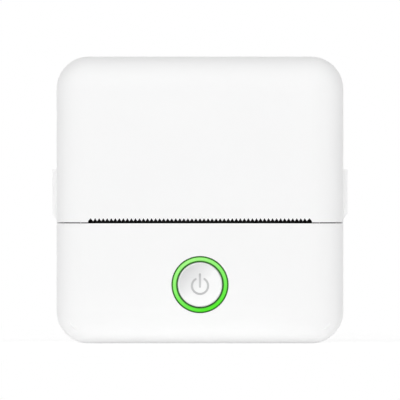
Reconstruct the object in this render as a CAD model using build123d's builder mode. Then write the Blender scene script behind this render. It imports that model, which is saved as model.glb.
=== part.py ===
from build123d import *
import os
from math import acos, asin, atan2, cos, degrees, hypot, pi, radians, sin, sqrt, tan

os.makedirs("parts", exist_ok=True)

# Pocket printer for 57 mm paper rolls, standing on its bottom with its face to the front.
# Millimetres. X is the width, Y the depth with the face at negative Y, Z the height.

# Case
case_width = 80.0
case_height = 80.0
case_depth = 40.0
case_corner = 9.0
back_round = 4.4
wall = 2.0

half_width = case_width / 2
face_y = -case_depth / 2
back_y = case_depth / 2
inner_side_x = half_width - wall
inner_face_y = face_y + wall
inner_back_y = back_y - wall
inner_top_z = case_height - wall
flat_half_x = half_width - case_corner
bevel_share = 2 - sqrt(2)
overcut = 1.0

# Lid and its parting line
seam_z = 33.5
lid_gap = 0.29
lid_wing_depth = 18.0
lid_wing_round = 4.0
lid_swing = 13.0
lid_edge_z = seam_z + lid_gap
lid_wing_y = face_y + lid_wing_depth
hinge_y = back_y - back_round
hinge_z = case_height - back_round
lid_rear_y = max(lid_wing_y, hinge_y - lid_swing)

# Lid hinge
pin_radius = 1.25
pin_bore_fit = 0.05
pin_press_fit = 0.02
arm_width = 13.0
arm_thickness = 3.0
arm_root = 9.0
arm_side_gap = 0.3
arm_swing_gap = 0.3
outer_knuckle_width = 3.7
knuckle_outer_x = flat_half_x
arm_outer_x = knuckle_outer_x - outer_knuckle_width - arm_side_gap
arm_inner_x = arm_outer_x - arm_width
pin_inset = 0.5

# Pull tabs on the lid
tab_proud = 1.2
tab_above_seam = 1.1
tab_height = 14.0
tab_slope = 1.7
tab_round = 0.5
tab_depth = 7.5
tab_root = 0.6
tab_bottom_z = seam_z + tab_above_seam
tab_front_y = face_y + case_corner

# Serrated tear edge
slot_half = 31.1
tooth_pitch = 1.12
tooth_tip_lift = 0.36
tooth_height = 0.89
end_notch_extra = 0.13
bar_thickness = 1.0
bar_web = 0.2
bar_flange = 2.6
tooth_count = int(2 * slot_half / tooth_pitch) - 1
tip_z = seam_z + tooth_tip_lift
notch_z = tip_z + tooth_height
bar_shoulder_z = notch_z + end_notch_extra + bar_web

# Locating rib behind the seam
rib_thickness = 0.8
rib_clearance = 0.1
rib_below = 2.4
rib_above = 1.1
rib_depth = 16.0
rib_back_y = face_y + rib_depth

# Split between the front and the rear shell
split_from_back = 12.0
split_gap = 0.2
rail_below_top = 12.0
lip_length = 1.6
split_y = back_y - split_from_back
rail_top_z = case_height - rail_below_top

# Case screws and their pillars
pillar_radius = 2.8
low_pillar_inset = 6.5
high_pillar_inset = 5.7
high_pillar_below_top = 18.0
pillar_lid_gap = 0.4
pillar_end_gap = 0.2
pillar_rib = 1.2
pillar_rib_back = 3.0
screw_radius = 1.0
screw_head_radius = 1.9
screw_head_height = 1.3
screw_recess = 7.0
case_screw_length = 9.0
screw_passage = 0.15
head_passage = 0.2
lip_pillar_gap = 1.7
low_pillar_x = half_width - low_pillar_inset
high_pillar_x = half_width - high_pillar_inset
high_pillar_z = case_height - high_pillar_below_top
high_boss_length = split_y - lid_rear_y - lid_gap - pillar_lid_gap
screw_seat_y = back_y - screw_recess
lip_half_x = low_pillar_x - pillar_radius - lip_pillar_gap
lip_bottom_z = low_pillar_inset + pillar_radius + lip_pillar_gap
lip_top_z = high_pillar_z - pillar_radius - lip_pillar_gap

# Gears: all of one module, in two layers outside the frame's right-hand plate
gear_module = 0.5
pressure_angle = 25.0
addendum = 0.8 * gear_module
dedendum = 1.1 * gear_module
backlash = 0.05
platen_teeth = 20
idler_teeth = 20
small_teeth = 12
large_teeth = 24
pinion_teeth = 10
gear_layer = 2.0
large_layer = 1.8
layer_gap = 0.2
gear_stand_off = 0.4
gear_side_room = 0.6
post_radius = 1.0
post_fit = 0.05
post_collar_radius = 2.0
post_head_radius = 1.3
post_head = 0.3
post_end_play = 0.05
reduction_direction = -84.3
pinion_direction = -80.0
gear_stack = gear_stand_off + gear_layer + layer_gap + large_layer + gear_side_room
plate_outer_x = inner_side_x - gear_stack
layer_one_x = plate_outer_x + gear_stand_off
layer_two_x = layer_one_x + gear_layer + layer_gap

# Platen
platen_inset = 7.4
platen_above_seam = 5.2
plate_thickness = 1.7
rubber_radius = 4.5
rubber_end_gap = 0.1
shaft_radius = 1.5
shaft_end = 0.6
bushing_radius = 2.5
bushing_bore_fit = 0.05
bushing_flange_radius = 3.2
bushing_flange = 0.4
cheek_gap = 0.3
cheek_thickness = 2.0
cheek_radius = 4.3
cheek_root = 9.0
platen_y = inner_face_y + platen_inset
platen_z = seam_z + platen_above_seam
plate_inner_x = plate_outer_x - plate_thickness
cheek_inner_x = plate_inner_x - cheek_gap - cheek_thickness
rubber_half = cheek_inner_x - bushing_flange - rubber_end_gap
shaft_left_x = -(plate_outer_x + shaft_end)

# Paper bucket: the largest roll that fits between the face and the back, over the platen
bucket_wall = 1.3
bucket_front_gap = 1.2
bucket_back_gap = 0.2
bucket_top_gap = 3.2
bucket_over_platen = 1.5
bucket_side_gap = 0.2
bucket_start_angle = 70.0
bucket_sweep = 185.0
bucket_cheek_bow = 8.0
bucket_low_z = platen_z + bucket_over_platen
bucket_high_z = inner_top_z - bucket_top_gap
bucket_room_y = inner_back_y - inner_face_y - bucket_back_gap - bucket_front_gap
bucket_outer = min(bucket_room_y, bucket_high_z - bucket_low_z) / 2
bucket_radius = bucket_outer - bucket_wall
bucket_half = plate_inner_x - bucket_side_gap
bucket_inner_half = bucket_half - bucket_wall
roll_y = inner_back_y - bucket_back_gap - bucket_outer
roll_z = (bucket_low_z + bucket_high_z) / 2
cradle_x = 20.0
cradle_width = 1.6
cradle_depth = 9.5
cradle_below_roll = 15.5
cradle_above_roll = 10.5
cradle_front_y = inner_back_y - cradle_depth
cradle_low_z = roll_z - cradle_below_roll
cradle_high_z = roll_z + cradle_above_roll

# Mechanism frame
plate_face_gap = 1.1
plate_above_platen = 4.3
floor_below_platen = 13.2
frame_floor = 1.5
lip_face_gap = 0.6
frame_lip = 1.5
lip_below_seam = 0.2
channel_depth = 17.1
frame_rear_wall = 1.6
motor_plate_half = 7.0
plate_usb_gap = 0.5
slot_fit = 0.05
slot_run = 15.0
plate_round = 1.2
ear_from_plate = 4.3
ear_below_floor = 3.5
ear_half = 3.2
ear_thickness = 1.5
ear_boss_radius = 2.2
ear_boss_height = 2.0
plate_front_y = inner_face_y + plate_face_gap
plate_top_z = platen_z + plate_above_platen
frame_floor_z = platen_z - floor_below_platen
frame_lip_y = inner_face_y + lip_face_gap
frame_lip_z = seam_z - lip_below_seam
frame_rear_y = frame_lip_y + channel_depth
ear_x = plate_inner_x - ear_from_plate
ear_z = frame_floor_z - ear_below_floor
ear_front_y = inner_face_y + ear_boss_height
rib_plate_gap = 0.3
rib_inner_x = plate_outer_x + rib_plate_gap

# Motor
motor_radius = 7.0
motor_length = 13.3
motor_shaft_radius = 0.75
motor_boss_radius = 2.0
motor_shaft_fit = 0.05
motor_shaft_inside = 10.0
motor_screw_offset = 4.5
motor_screw_radius = 0.75
motor_screw_head = 1.3
motor_screw_head_height = 0.8
motor_screw_grip = 2.5

# Print head
sink_before_platen = 4.0
sink_behind_platen = 7.5
sink_thickness = 2.0
substrate_before_platen = 3.5
substrate_behind_platen = 2.5
substrate_thickness = 0.7
head_gap = 0.15
pivot_behind_platen = 6.5
pivot_below_platen = 8.7
trunnion_radius = 0.9
trunnion_fit = 0.05
head_ear = 1.6
head_ear_radius = 1.6
trunnion_end_gap = 0.2
spring_x = 15.0
spring_width = 6.0
spring_strip = 0.3
spring_foot = 3.4
sensor_width = 4.0
sensor_depth = 2.0
sensor_height = 3.0
sensor_below_platen = 2.2
sink_front_y = platen_y - sink_before_platen
sink_back_y = platen_y + sink_behind_platen
substrate_front_y = platen_y - substrate_before_platen
substrate_back_y = platen_y + substrate_behind_platen
substrate_half = rubber_half
head_pivot_y = platen_y + pivot_behind_platen
head_pivot_z = platen_z - pivot_below_platen
sensor_z = platen_z - sensor_below_platen
substrate_top_z = platen_z - rubber_radius - head_gap
sink_top_z = substrate_top_z - substrate_thickness
sink_bottom_z = sink_top_z - sink_thickness

# Power button, light ring and switch
button_z = 16.5
button_radius = 6.2
button_sink = 0.2
button_edge = 0.4
button_chamfer = 0.25
dish_depth = 1.1
button_flange_radius = 6.9
button_flange = 0.8
button_skin = 1.2
button_side_wall = 0.8
stem_radius = 1.6
ring_gap = 0.25
ring_width = 1.3
ring_edge = 0.25
ring_hole_gap = 0.2
ring_flange = 1.05
ring_step = 0.9
ring_shoulder_depth = 2.7
ring_flange_radius = 8.7
ring_seat_gap = 0.15
ring_counterbore = 7.15
ring_back = 1.1
flange_play = 0.05
symbol_radius = 2.25
symbol_stroke = 0.58
symbol_gap = 33.0
symbol_drop = 0.35
symbol_bar_top = 3.15
symbol_bar_bottom = -0.9
symbol_depth = 0.15
switch_side = 6.0
switch_height = 3.5
plunger_radius = 1.7
plunger_fit = 0.1
plunger_proud = 0.9
plunger_depth = 1.5
plunger_bottom_gap = 0.6
button_face_y = face_y + button_sink
dish_y = button_face_y + dish_depth
dish_rim = button_radius - button_edge
dish_radius = (dish_rim**2 + dish_depth**2) / (2 * dish_depth)
ring_inner = button_radius + ring_gap
ring_outer = ring_inner + ring_width
ring_hole = ring_outer + ring_hole_gap

# Main board
board_stand_off = 6.5
board_thickness = 1.2
board_pillar_gap = 0.8
board_low_z = 3.5
board_floor_gap = 1.0
board_ear_gap = 0.4
board_ear_pillar_gap = 0.2
board_ear_height = 9.5
board_boss_radius = 2.2
board_boss_inset = 3.0
board_boss_high_x = 15.0
board_boss_drop = 2.7
small_screw_radius = 0.9
small_screw_head = 1.7
small_screw_head_height = 1.1
small_screw_length = 5.0
led_size = 1.6
led_height = 0.7
led_count = 4
chip_height = 1.1
processor_centre = (-12.0, 13.0)
processor_side = 7.0
driver_centre = (-1.0, 18.0)
driver_side = 5.0
charger_centre = (9.0, 8.0)
charger_side = 4.0
board_face_y = inner_face_y + board_stand_off
board_back_y = board_face_y + board_thickness
board_half = low_pillar_x - pillar_radius - board_pillar_gap
board_top_z = frame_floor_z - board_floor_gap
board_ear_x = inner_side_x - board_ear_gap
board_ear_low_z = low_pillar_inset + pillar_radius + board_ear_pillar_gap
board_ear_top_z = board_ear_low_z + board_ear_height
board_boss_low_x = board_half - board_boss_inset
board_boss_low_z = board_low_z + board_boss_inset
board_boss_high_z = board_top_z - board_boss_drop
led_radius_at = (ring_inner + ring_outer) / 2

# USB-C socket on the right-hand side
usb_width = 8.94
usb_height = 3.26
usb_length = 7.35
usb_wall = 0.35
usb_cutout_width = 9.6
usb_cutout_height = 4.0
usb_recess = 1.1
usb_tongue_width = 6.7
usb_tongue_height = 0.7
usb_cavity = 6.2
usb_mouth_x = half_width - usb_recess
usb_y = board_back_y + usb_height / 2
usb_z = (board_ear_low_z + board_ear_top_z) / 2

# Battery
battery_width = 50.0
battery_thickness = 6.0
battery_height = 34.0
battery_round = 2.0
battery_low_z = 4.0
pad_thickness = 0.7
pad_margin = 6.0
battery_back_y = inner_back_y - pad_thickness


# An upright plane at depth y, whose normal looks out of the face: local x is X, local y is Z.
def facing(y):
    return Plane.XZ.offset(-y)


# A plane across the width at x, whose normal is +X: local x is Y, local y is Z.
def across(x):
    return Plane.YZ.offset(x)


# The rounded block of the case.
def case_block():
    with BuildPart() as block:
        with BuildSketch(facing(back_y)):
            with Locations((0, case_height / 2)):
                Rectangle(case_width, case_height)
        extrude(amount=case_depth)
        face_edges = block.faces().sort_by(Axis.Y)[0].edges()
        fillet(face_edges + block.edges().filter_by(Axis.Y), case_corner)
        fillet(block.faces().sort_by(Axis.Y)[-1].edges(), back_round)
    return block.part


# The room inside the case, a wall's thickness in from the block, with bevels behind its roundings.
def case_room():
    with BuildPart() as room:
        with BuildSketch(facing(inner_back_y)):
            with Locations((0, case_height / 2)):
                RectangleRounded(2 * inner_side_x, case_height - 2 * wall, case_corner - wall)
        extrude(amount=inner_back_y - inner_face_y)
        chamfer(room.faces().sort_by(Axis.Y)[0].edges(), (case_corner - wall) * bevel_share)
        chamfer(room.faces().sort_by(Axis.Y)[-1].edges(), back_round - wall)
    return room.part


# Side view of the zone that opens with the lid, moved outward by a gap. Its rim is an arc
# about the hinge, and the gap keeps that arc's centre.
def lid_zone(gap):
    reach = lid_swing - gap
    crown_rise = asin((back_round + overcut) / reach)
    front_end = (face_y - overcut, lid_edge_z - gap)
    with BuildSketch(Plane.YZ) as zone:
        with BuildLine():
            FilletPolyline(
                front_end,
                (lid_wing_y + gap, lid_edge_z - gap),
                (hinge_y - reach, hinge_z),
                radius=lid_wing_round + gap,
            )
            rim = CenterArc((hinge_y, hinge_z), reach, 180, -degrees(crown_rise))
            Polyline(rim @ 1, (face_y - overcut, case_height + overcut), front_end)
        make_face()
    return zone.sketch


# Involute function of a pressure angle in radians.
def involute(angle):
    return tan(angle) - angle


def gear_pitch_radius(teeth):
    return gear_module * teeth / 2


# A point at a radius and an angle in degrees.
def polar(radius, angle):
    return (radius * cos(radians(angle)), radius * sin(radians(angle)))


# Outline of a spur gear with one tooth centred on the given angle.
def gear_outline(teeth, tooth_angle, bore):
    pitch = gear_pitch_radius(teeth)
    base = pitch * cos(radians(pressure_angle))
    tip = pitch + addendum
    root = pitch - dedendum
    foot = max(base, root)
    half_tooth = pi / (2 * teeth) - backlash / (2 * pitch) + involute(radians(pressure_angle))

    # Half the tooth's width as an angle at one radius
    def half_angle(radius):
        return degrees(half_tooth - involute(acos(min(1.0, base / radius))))

    with BuildSketch() as outline:
        with BuildLine():
            for tooth in range(teeth):
                middle = tooth_angle + 360 * tooth / teeth
                rising = [polar(r, middle - half_angle(r)) for r in (foot, (foot + tip) / 2, tip)]
                falling = [polar(r, middle + half_angle(r)) for r in (tip, (foot + tip) / 2, foot)]
                foot_in = polar(root, middle - half_angle(foot))
                foot_out = polar(root, middle + half_angle(foot))
                next_foot = polar(root, middle + 360 / teeth - half_angle(foot))
                if foot > root:
                    Line(foot_in, rising[0])
                ThreePointArc(*rising)
                Line(rising[2], falling[0])
                ThreePointArc(*falling)
                if foot > root:
                    Line(falling[2], foot_out)
                Line(foot_out, next_foot)
        make_face()
        Circle(bore, mode=Mode.SUBTRACT)
    return outline.sketch


# Where a gear sits that meshes with another one, in a direction seen from the first.
def mesh_centre(centre, teeth, other_teeth, direction):
    reach = gear_pitch_radius(teeth) + gear_pitch_radius(other_teeth)
    step = polar(reach, direction)
    return (centre[0] + step[0], centre[1] + step[1])


# The tooth angle that puts a gap of the second gear on a tooth of the first.
def mesh_angle(tooth_angle, teeth, other_teeth, direction):
    gap_angle = direction + 180 - (tooth_angle - direction) * teeth / other_teeth
    return gap_angle + 180 / other_teeth


# The idler lies straight behind the way the platen takes out of its seat
platen_axis = (platen_y, platen_z)
platen_reach = hypot(platen_y - hinge_y, platen_z - hinge_z)
platen_seat_angle = degrees(atan2(platen_z - hinge_z, platen_y - hinge_y))
idler_direction = platen_seat_angle + 90
idler_axis = mesh_centre(platen_axis, platen_teeth, idler_teeth, idler_direction)
reduction_axis = mesh_centre(idler_axis, idler_teeth, small_teeth, reduction_direction)
motor_axis = mesh_centre(reduction_axis, large_teeth, pinion_teeth, pinion_direction)
platen_tooth = 0.0
idler_tooth = mesh_angle(platen_tooth, platen_teeth, idler_teeth, idler_direction)
small_tooth = mesh_angle(idler_tooth, idler_teeth, small_teeth, reduction_direction)
large_tooth = 0.0
pinion_tooth = mesh_angle(large_tooth, large_teeth, pinion_teeth, pinion_direction)

low_pillar = (low_pillar_x, low_pillar_inset)
high_pillar = (high_pillar_x, high_pillar_z)
pillars = [low_pillar, (-low_pillar[0], low_pillar[1]), high_pillar, (-high_pillar[0], high_pillar[1])]
board_bosses = [
    (board_boss_low_x, board_boss_low_z),
    (-board_boss_low_x, board_boss_low_z),
    (board_boss_high_x, board_boss_high_z),
    (-board_boss_high_x, board_boss_high_z),
]
ear_centres = [(ear_x, ear_z), (-ear_x, ear_z)]


# Paper lid: the forward part of the case above the seam, with hinge arms and platen cheeks
with BuildPart() as paper_lid:
    add(case_block())
    add(case_room(), mode=Mode.SUBTRACT)
    extrude(lid_zone(0), amount=case_width, both=True, mode=Mode.INTERSECT)
    for side in (1, -1):
        # Hinge arm that ends in a barrel round the pin
        with BuildSketch(across(side * arm_inner_x)):
            with Locations((hinge_y, case_height)):
                Rectangle(lid_swing + arm_root, arm_thickness, align=(Align.MAX, Align.MAX))
            with Locations((hinge_y, hinge_z)):
                Circle(back_round)
                Circle(pin_radius + pin_bore_fit, mode=Mode.SUBTRACT)
        extrude(amount=side * arm_width)
        # Pull tab on the side wall
        with BuildSketch(facing(tab_front_y + tab_depth)) as tab:
            with BuildLine():
                Polyline(
                    (side * (half_width - tab_root), tab_bottom_z),
                    (side * half_width, tab_bottom_z),
                    (side * (half_width + tab_proud), tab_bottom_z + tab_slope),
                    (side * (half_width + tab_proud), tab_bottom_z + tab_height),
                    (side * (half_width - tab_root), tab_bottom_z + tab_height),
                    close=True,
                )
            make_face()
            outer_top = (side * (half_width + tab_proud), tab_bottom_z + tab_height)
            fillet(tab.vertices().sort_by_distance(outer_top)[0], tab_round)
        extrude(amount=tab_depth)
        # Cheek that carries a platen bushing
        with BuildSketch(across(side * cheek_inner_x)):
            with Locations((inner_face_y - wall / 4, platen_z)):
                Rectangle(wall / 2, cheek_root)
            with Locations(platen_axis):
                Circle(cheek_radius)
            make_hull()
            with Locations(platen_axis):
                Circle(bushing_radius, mode=Mode.SUBTRACT)
        extrude(amount=side * cheek_thickness)
    # Opening and rabbet for the tear bar
    with BuildSketch(facing(inner_face_y + overcut)):
        with Locations((0, bar_shoulder_z)):
            Rectangle(2 * slot_half, bar_shoulder_z - seam_z + overcut, align=(Align.CENTER, Align.MAX))
    extrude(amount=wall + 2 * overcut, mode=Mode.SUBTRACT)
    with BuildSketch(facing(inner_face_y + overcut)):
        with Locations((0, bar_shoulder_z)):
            Rectangle(2 * slot_half, 2 * bar_flange, align=(Align.CENTER, Align.CENTER))
    extrude(amount=bar_thickness + overcut, mode=Mode.SUBTRACT)
paper_lid.part.label = "paper_lid"
export_step(paper_lid.part, "parts/paper_lid.step")


# Tear bar: zigzag teeth flush with the lid's face, and a flange behind the lid's edge
with BuildPart() as tear_bar:
    with BuildSketch(facing(inner_face_y)):
        with BuildLine():
            last_notch = tooth_pitch * (tooth_count - 2) / 2
            last_tip = tooth_pitch * (tooth_count - 1) / 2
            outer_notch = (last_tip + slot_half) / 2
            zigzag = [(-slot_half, tip_z), (-outer_notch, notch_z + end_notch_extra), (-last_tip, tip_z)]
            for notch in range(tooth_count - 1):
                notch_x = notch * tooth_pitch - last_notch
                zigzag.append((notch_x, notch_z))
                zigzag.append((notch_x + tooth_pitch / 2, tip_z))
            zigzag.append((outer_notch, notch_z + end_notch_extra))
            zigzag.append((slot_half, tip_z))
            Polyline(*zigzag)
            Polyline(zigzag[-1], (slot_half, bar_shoulder_z), (-slot_half, bar_shoulder_z), zigzag[0])
        make_face()
    extrude(amount=wall)
    with BuildSketch(facing(inner_face_y)):
        with Locations((0, bar_shoulder_z)):
            Rectangle(2 * slot_half, bar_flange, align=(Align.CENTER, Align.MIN))
    extrude(amount=bar_thickness)
tear_bar.part.label = "tear_bar"
export_step(tear_bar.part, "parts/tear_bar.step")


# Hinge pin
with BuildPart() as hinge_pin:
    with BuildSketch(across(pin_inset - knuckle_outer_x)):
        with Locations((hinge_y, hinge_z)):
            Circle(pin_radius)
    extrude(amount=2 * (knuckle_outer_x - pin_inset))
hinge_pin.part.label = "hinge_pin"
export_step(hinge_pin.part, "parts/hinge_pin.step")


# Front shell: face below the seam, bottom, both side rails, screw bosses
with BuildPart() as front_shell:
    add(case_block())
    add(case_room(), mode=Mode.SUBTRACT)
    extrude(lid_zone(lid_gap), amount=case_width, both=True, mode=Mode.SUBTRACT)
    with BuildSketch(Plane.YZ):
        with Locations((split_y, -overcut)):
            Rectangle(case_depth, rail_top_z + overcut, align=(Align.MAX, Align.MIN))
    extrude(amount=case_width, both=True, mode=Mode.INTERSECT)
    # Rib that closes the seam from behind
    for low_z, high_z, clearance in (
        (seam_z - rib_below, seam_z - rib_clearance, 0),
        (seam_z - rib_clearance, seam_z + rib_above, rib_clearance),
    ):
        with BuildSketch(Plane.XY.offset(low_z)):
            RectangleRounded(
                2 * (inner_side_x - clearance),
                2 * (inner_back_y - clearance),
                case_corner - wall - clearance,
            )
            RectangleRounded(
                2 * (inner_side_x - rib_clearance - rib_thickness),
                2 * (inner_back_y - rib_clearance - rib_thickness),
                case_corner - wall - rib_clearance - rib_thickness,
                mode=Mode.SUBTRACT,
            )
            Rectangle(2 * rib_inner_x, case_depth, mode=Mode.SUBTRACT)
            with Locations((0, rib_back_y)):
                Rectangle(case_width, case_depth, align=(Align.CENTER, Align.MIN), mode=Mode.SUBTRACT)
        extrude(amount=high_z - low_z)
    # Long pillars in the bottom corners, with a rib to the side and one to the bottom
    with BuildSketch(facing(split_y)):
        with Locations(low_pillar, (-low_pillar[0], low_pillar[1])):
            Circle(pillar_radius)
    extrude(amount=split_y - inner_face_y - pillar_end_gap)
    with BuildSketch(facing(split_y - pillar_rib_back)):
        for side in (1, -1):
            with Locations((side * low_pillar_x, low_pillar_inset)):
                Rectangle(
                    low_pillar_inset - wall / 2,
                    pillar_rib,
                    align=(Align.MIN if side > 0 else Align.MAX, Align.CENTER),
                )
                Rectangle(pillar_rib, low_pillar_inset - wall / 2, align=(Align.CENTER, Align.MAX))
    extrude(amount=split_y - pillar_rib_back - face_y - case_corner)
    # Short bosses on the rails
    with BuildSketch(facing(split_y)):
        for side in (1, -1):
            with Locations((side * high_pillar_x, high_pillar_z)):
                Circle(pillar_radius)
                Rectangle(
                    high_pillar_inset - wall / 2,
                    2 * pillar_rib,
                    align=(Align.MIN if side > 0 else Align.MAX, Align.CENTER),
                )
    extrude(amount=high_boss_length)
    # Bosses for the board and for the mechanism
    with BuildSketch(facing(board_face_y)):
        with Locations(*board_bosses):
            Circle(board_boss_radius)
    extrude(amount=board_face_y - inner_face_y + wall / 4)
    with BuildSketch(facing(ear_front_y)):
        with Locations(*ear_centres):
            Circle(ear_boss_radius)
    extrude(amount=ear_front_y - inner_face_y + wall / 4)
    # Screw bores
    with BuildSketch(facing(split_y)):
        with Locations(*pillars):
            Circle(screw_radius)
    extrude(amount=case_screw_length - (screw_seat_y - split_y), mode=Mode.SUBTRACT)
    with BuildSketch(facing(board_face_y)):
        with Locations(*board_bosses):
            Circle(small_screw_radius)
    extrude(amount=small_screw_length - board_thickness, mode=Mode.SUBTRACT)
    with BuildSketch(facing(ear_front_y)):
        with Locations(*ear_centres):
            Circle(small_screw_radius)
    extrude(amount=ear_front_y - inner_face_y, mode=Mode.SUBTRACT)
    # Hole for the light ring and cut-out for the socket
    with BuildSketch(facing(inner_face_y + overcut)):
        with Locations((0, button_z)):
            Circle(ring_hole)
    extrude(amount=wall + 2 * overcut, mode=Mode.SUBTRACT)
    with BuildSketch(across(inner_side_x - overcut)):
        with Locations((usb_y, usb_z)):
            SlotOverall(usb_cutout_width, usb_cutout_height, rotation=90)
    extrude(amount=wall + 2 * overcut, mode=Mode.SUBTRACT)
front_shell.part.label = "front_shell"
export_step(front_shell.part, "parts/front_shell.step")


# Rear shell: back, rear part of the sides, the top behind the lid, hinge knuckles
with BuildPart() as rear_shell:
    add(case_block())
    add(case_room(), mode=Mode.SUBTRACT)
    # Solid knuckles between and outside the arms
    for start_x, width in (
        (-(arm_inner_x - arm_side_gap), 2 * (arm_inner_x - arm_side_gap)),
        (arm_outer_x + arm_side_gap, outer_knuckle_width),
        (-knuckle_outer_x, outer_knuckle_width),
    ):
        with BuildSketch(across(start_x)):
            with Locations((hinge_y, hinge_z)):
                Circle(back_round)
        extrude(amount=width)
    extrude(lid_zone(lid_gap), amount=case_width, both=True, mode=Mode.SUBTRACT)
    with BuildSketch(Plane.YZ):
        with Locations((split_y + split_gap, -overcut)):
            Rectangle(case_depth, case_height + 2 * overcut, align=(Align.MIN, Align.MIN))
        with Locations((split_y + split_gap, rail_top_z + split_gap)):
            Rectangle(case_depth, case_height, align=(Align.MAX, Align.MIN))
    extrude(amount=case_width, both=True, mode=Mode.INTERSECT)
    # Notches that the arms swing in
    for side in (1, -1):
        with BuildSketch(across(side * (arm_inner_x - arm_side_gap))):
            with Locations((hinge_y, case_height + overcut)):
                Rectangle(
                    lid_swing + overcut,
                    arm_thickness + arm_swing_gap + overcut,
                    align=(Align.MAX, Align.MAX),
                )
            with Locations((hinge_y, hinge_z)):
                Circle(back_round + arm_swing_gap)
        extrude(amount=side * (arm_width + 2 * arm_side_gap), mode=Mode.SUBTRACT)
    # Bore for the pin
    with BuildSketch(across(-knuckle_outer_x)):
        with Locations((hinge_y, hinge_z)):
            Circle(pin_radius + pin_press_fit)
    extrude(amount=2 * knuckle_outer_x, mode=Mode.SUBTRACT)
    # Lips that overlap the front shell inside the split
    for lip_back, lip_clearance, lip_amount in (
        (split_y + split_gap + lip_length, 0, lip_length),
        (split_y + split_gap, rib_clearance, lip_length + split_gap),
    ):
        with BuildSketch(facing(lip_back)):
            for side in (1, -1):
                with Locations((side * (inner_side_x - lip_clearance), (lip_bottom_z + lip_top_z) / 2)):
                    Rectangle(
                        rib_thickness + rib_clearance - lip_clearance,
                        lip_top_z - lip_bottom_z,
                        align=(Align.MAX if side > 0 else Align.MIN, Align.CENTER),
                    )
            with Locations((0, wall + lip_clearance)):
                Rectangle(
                    2 * lip_half_x,
                    rib_thickness + rib_clearance - lip_clearance,
                    align=(Align.CENTER, Align.MIN),
                )
        extrude(amount=lip_amount)
    # Screw pillars with deep counterbores
    with BuildSketch(facing(inner_back_y + wall / 8)):
        with Locations(*pillars):
            Circle(pillar_radius)
    extrude(amount=inner_back_y + wall / 8 - split_y)
    with BuildSketch(facing(back_y + overcut)):
        with Locations(*pillars):
            Circle(screw_radius + screw_passage)
    extrude(amount=case_depth, mode=Mode.SUBTRACT)
    with BuildSketch(facing(back_y + overcut)):
        with Locations(*pillars):
            Circle(screw_head_radius + head_passage)
    extrude(amount=back_y + overcut - screw_seat_y, mode=Mode.SUBTRACT)
    # Cradle ribs under and behind the bucket
    for rib_x in (cradle_x, -cradle_x):
        with BuildSketch(across(rib_x - cradle_width / 2)):
            with Locations((inner_back_y + wall / 4, cradle_low_z)):
                Rectangle(
                    inner_back_y + wall / 4 - cradle_front_y,
                    cradle_high_z - cradle_low_z,
                    align=(Align.MAX, Align.MIN),
                )
            with Locations((roll_y, roll_z)):
                Circle(bucket_outer, mode=Mode.SUBTRACT)
        extrude(amount=cradle_width)
rear_shell.part.label = "rear_shell"
export_step(rear_shell.part, "parts/rear_shell.step")


# Paper bucket: a trough under and behind the roll, with a cheek at each end
with BuildPart() as paper_bucket:
    with BuildSketch(across(-bucket_half)):
        with BuildLine():
            outer_arc = CenterArc((roll_y, roll_z), bucket_outer, bucket_start_angle, -bucket_sweep)
            inner_arc = CenterArc((roll_y, roll_z), bucket_radius, bucket_start_angle, -bucket_sweep)
            Line(outer_arc @ 0, inner_arc @ 0)
            Line(outer_arc @ 1, inner_arc @ 1)
        make_face()
    extrude(amount=2 * bucket_half)
    for cheek_x in (-bucket_half, bucket_inner_half):
        with BuildSketch(across(cheek_x)):
            with BuildLine():
                back_arc = CenterArc((roll_y, roll_z), bucket_outer, bucket_start_angle, -bucket_sweep)
                ThreePointArc(back_arc @ 1, (roll_y - bucket_cheek_bow, roll_z), back_arc @ 0)
            make_face()
        extrude(amount=bucket_wall)
paper_bucket.part.label = "paper_bucket"
export_step(paper_bucket.part, "parts/paper_bucket.step")


# Path of the platen bushings about the lid's hinge
bushing_path = CenterArc((hinge_y, hinge_z), platen_reach, platen_seat_angle, -slot_run)

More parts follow.
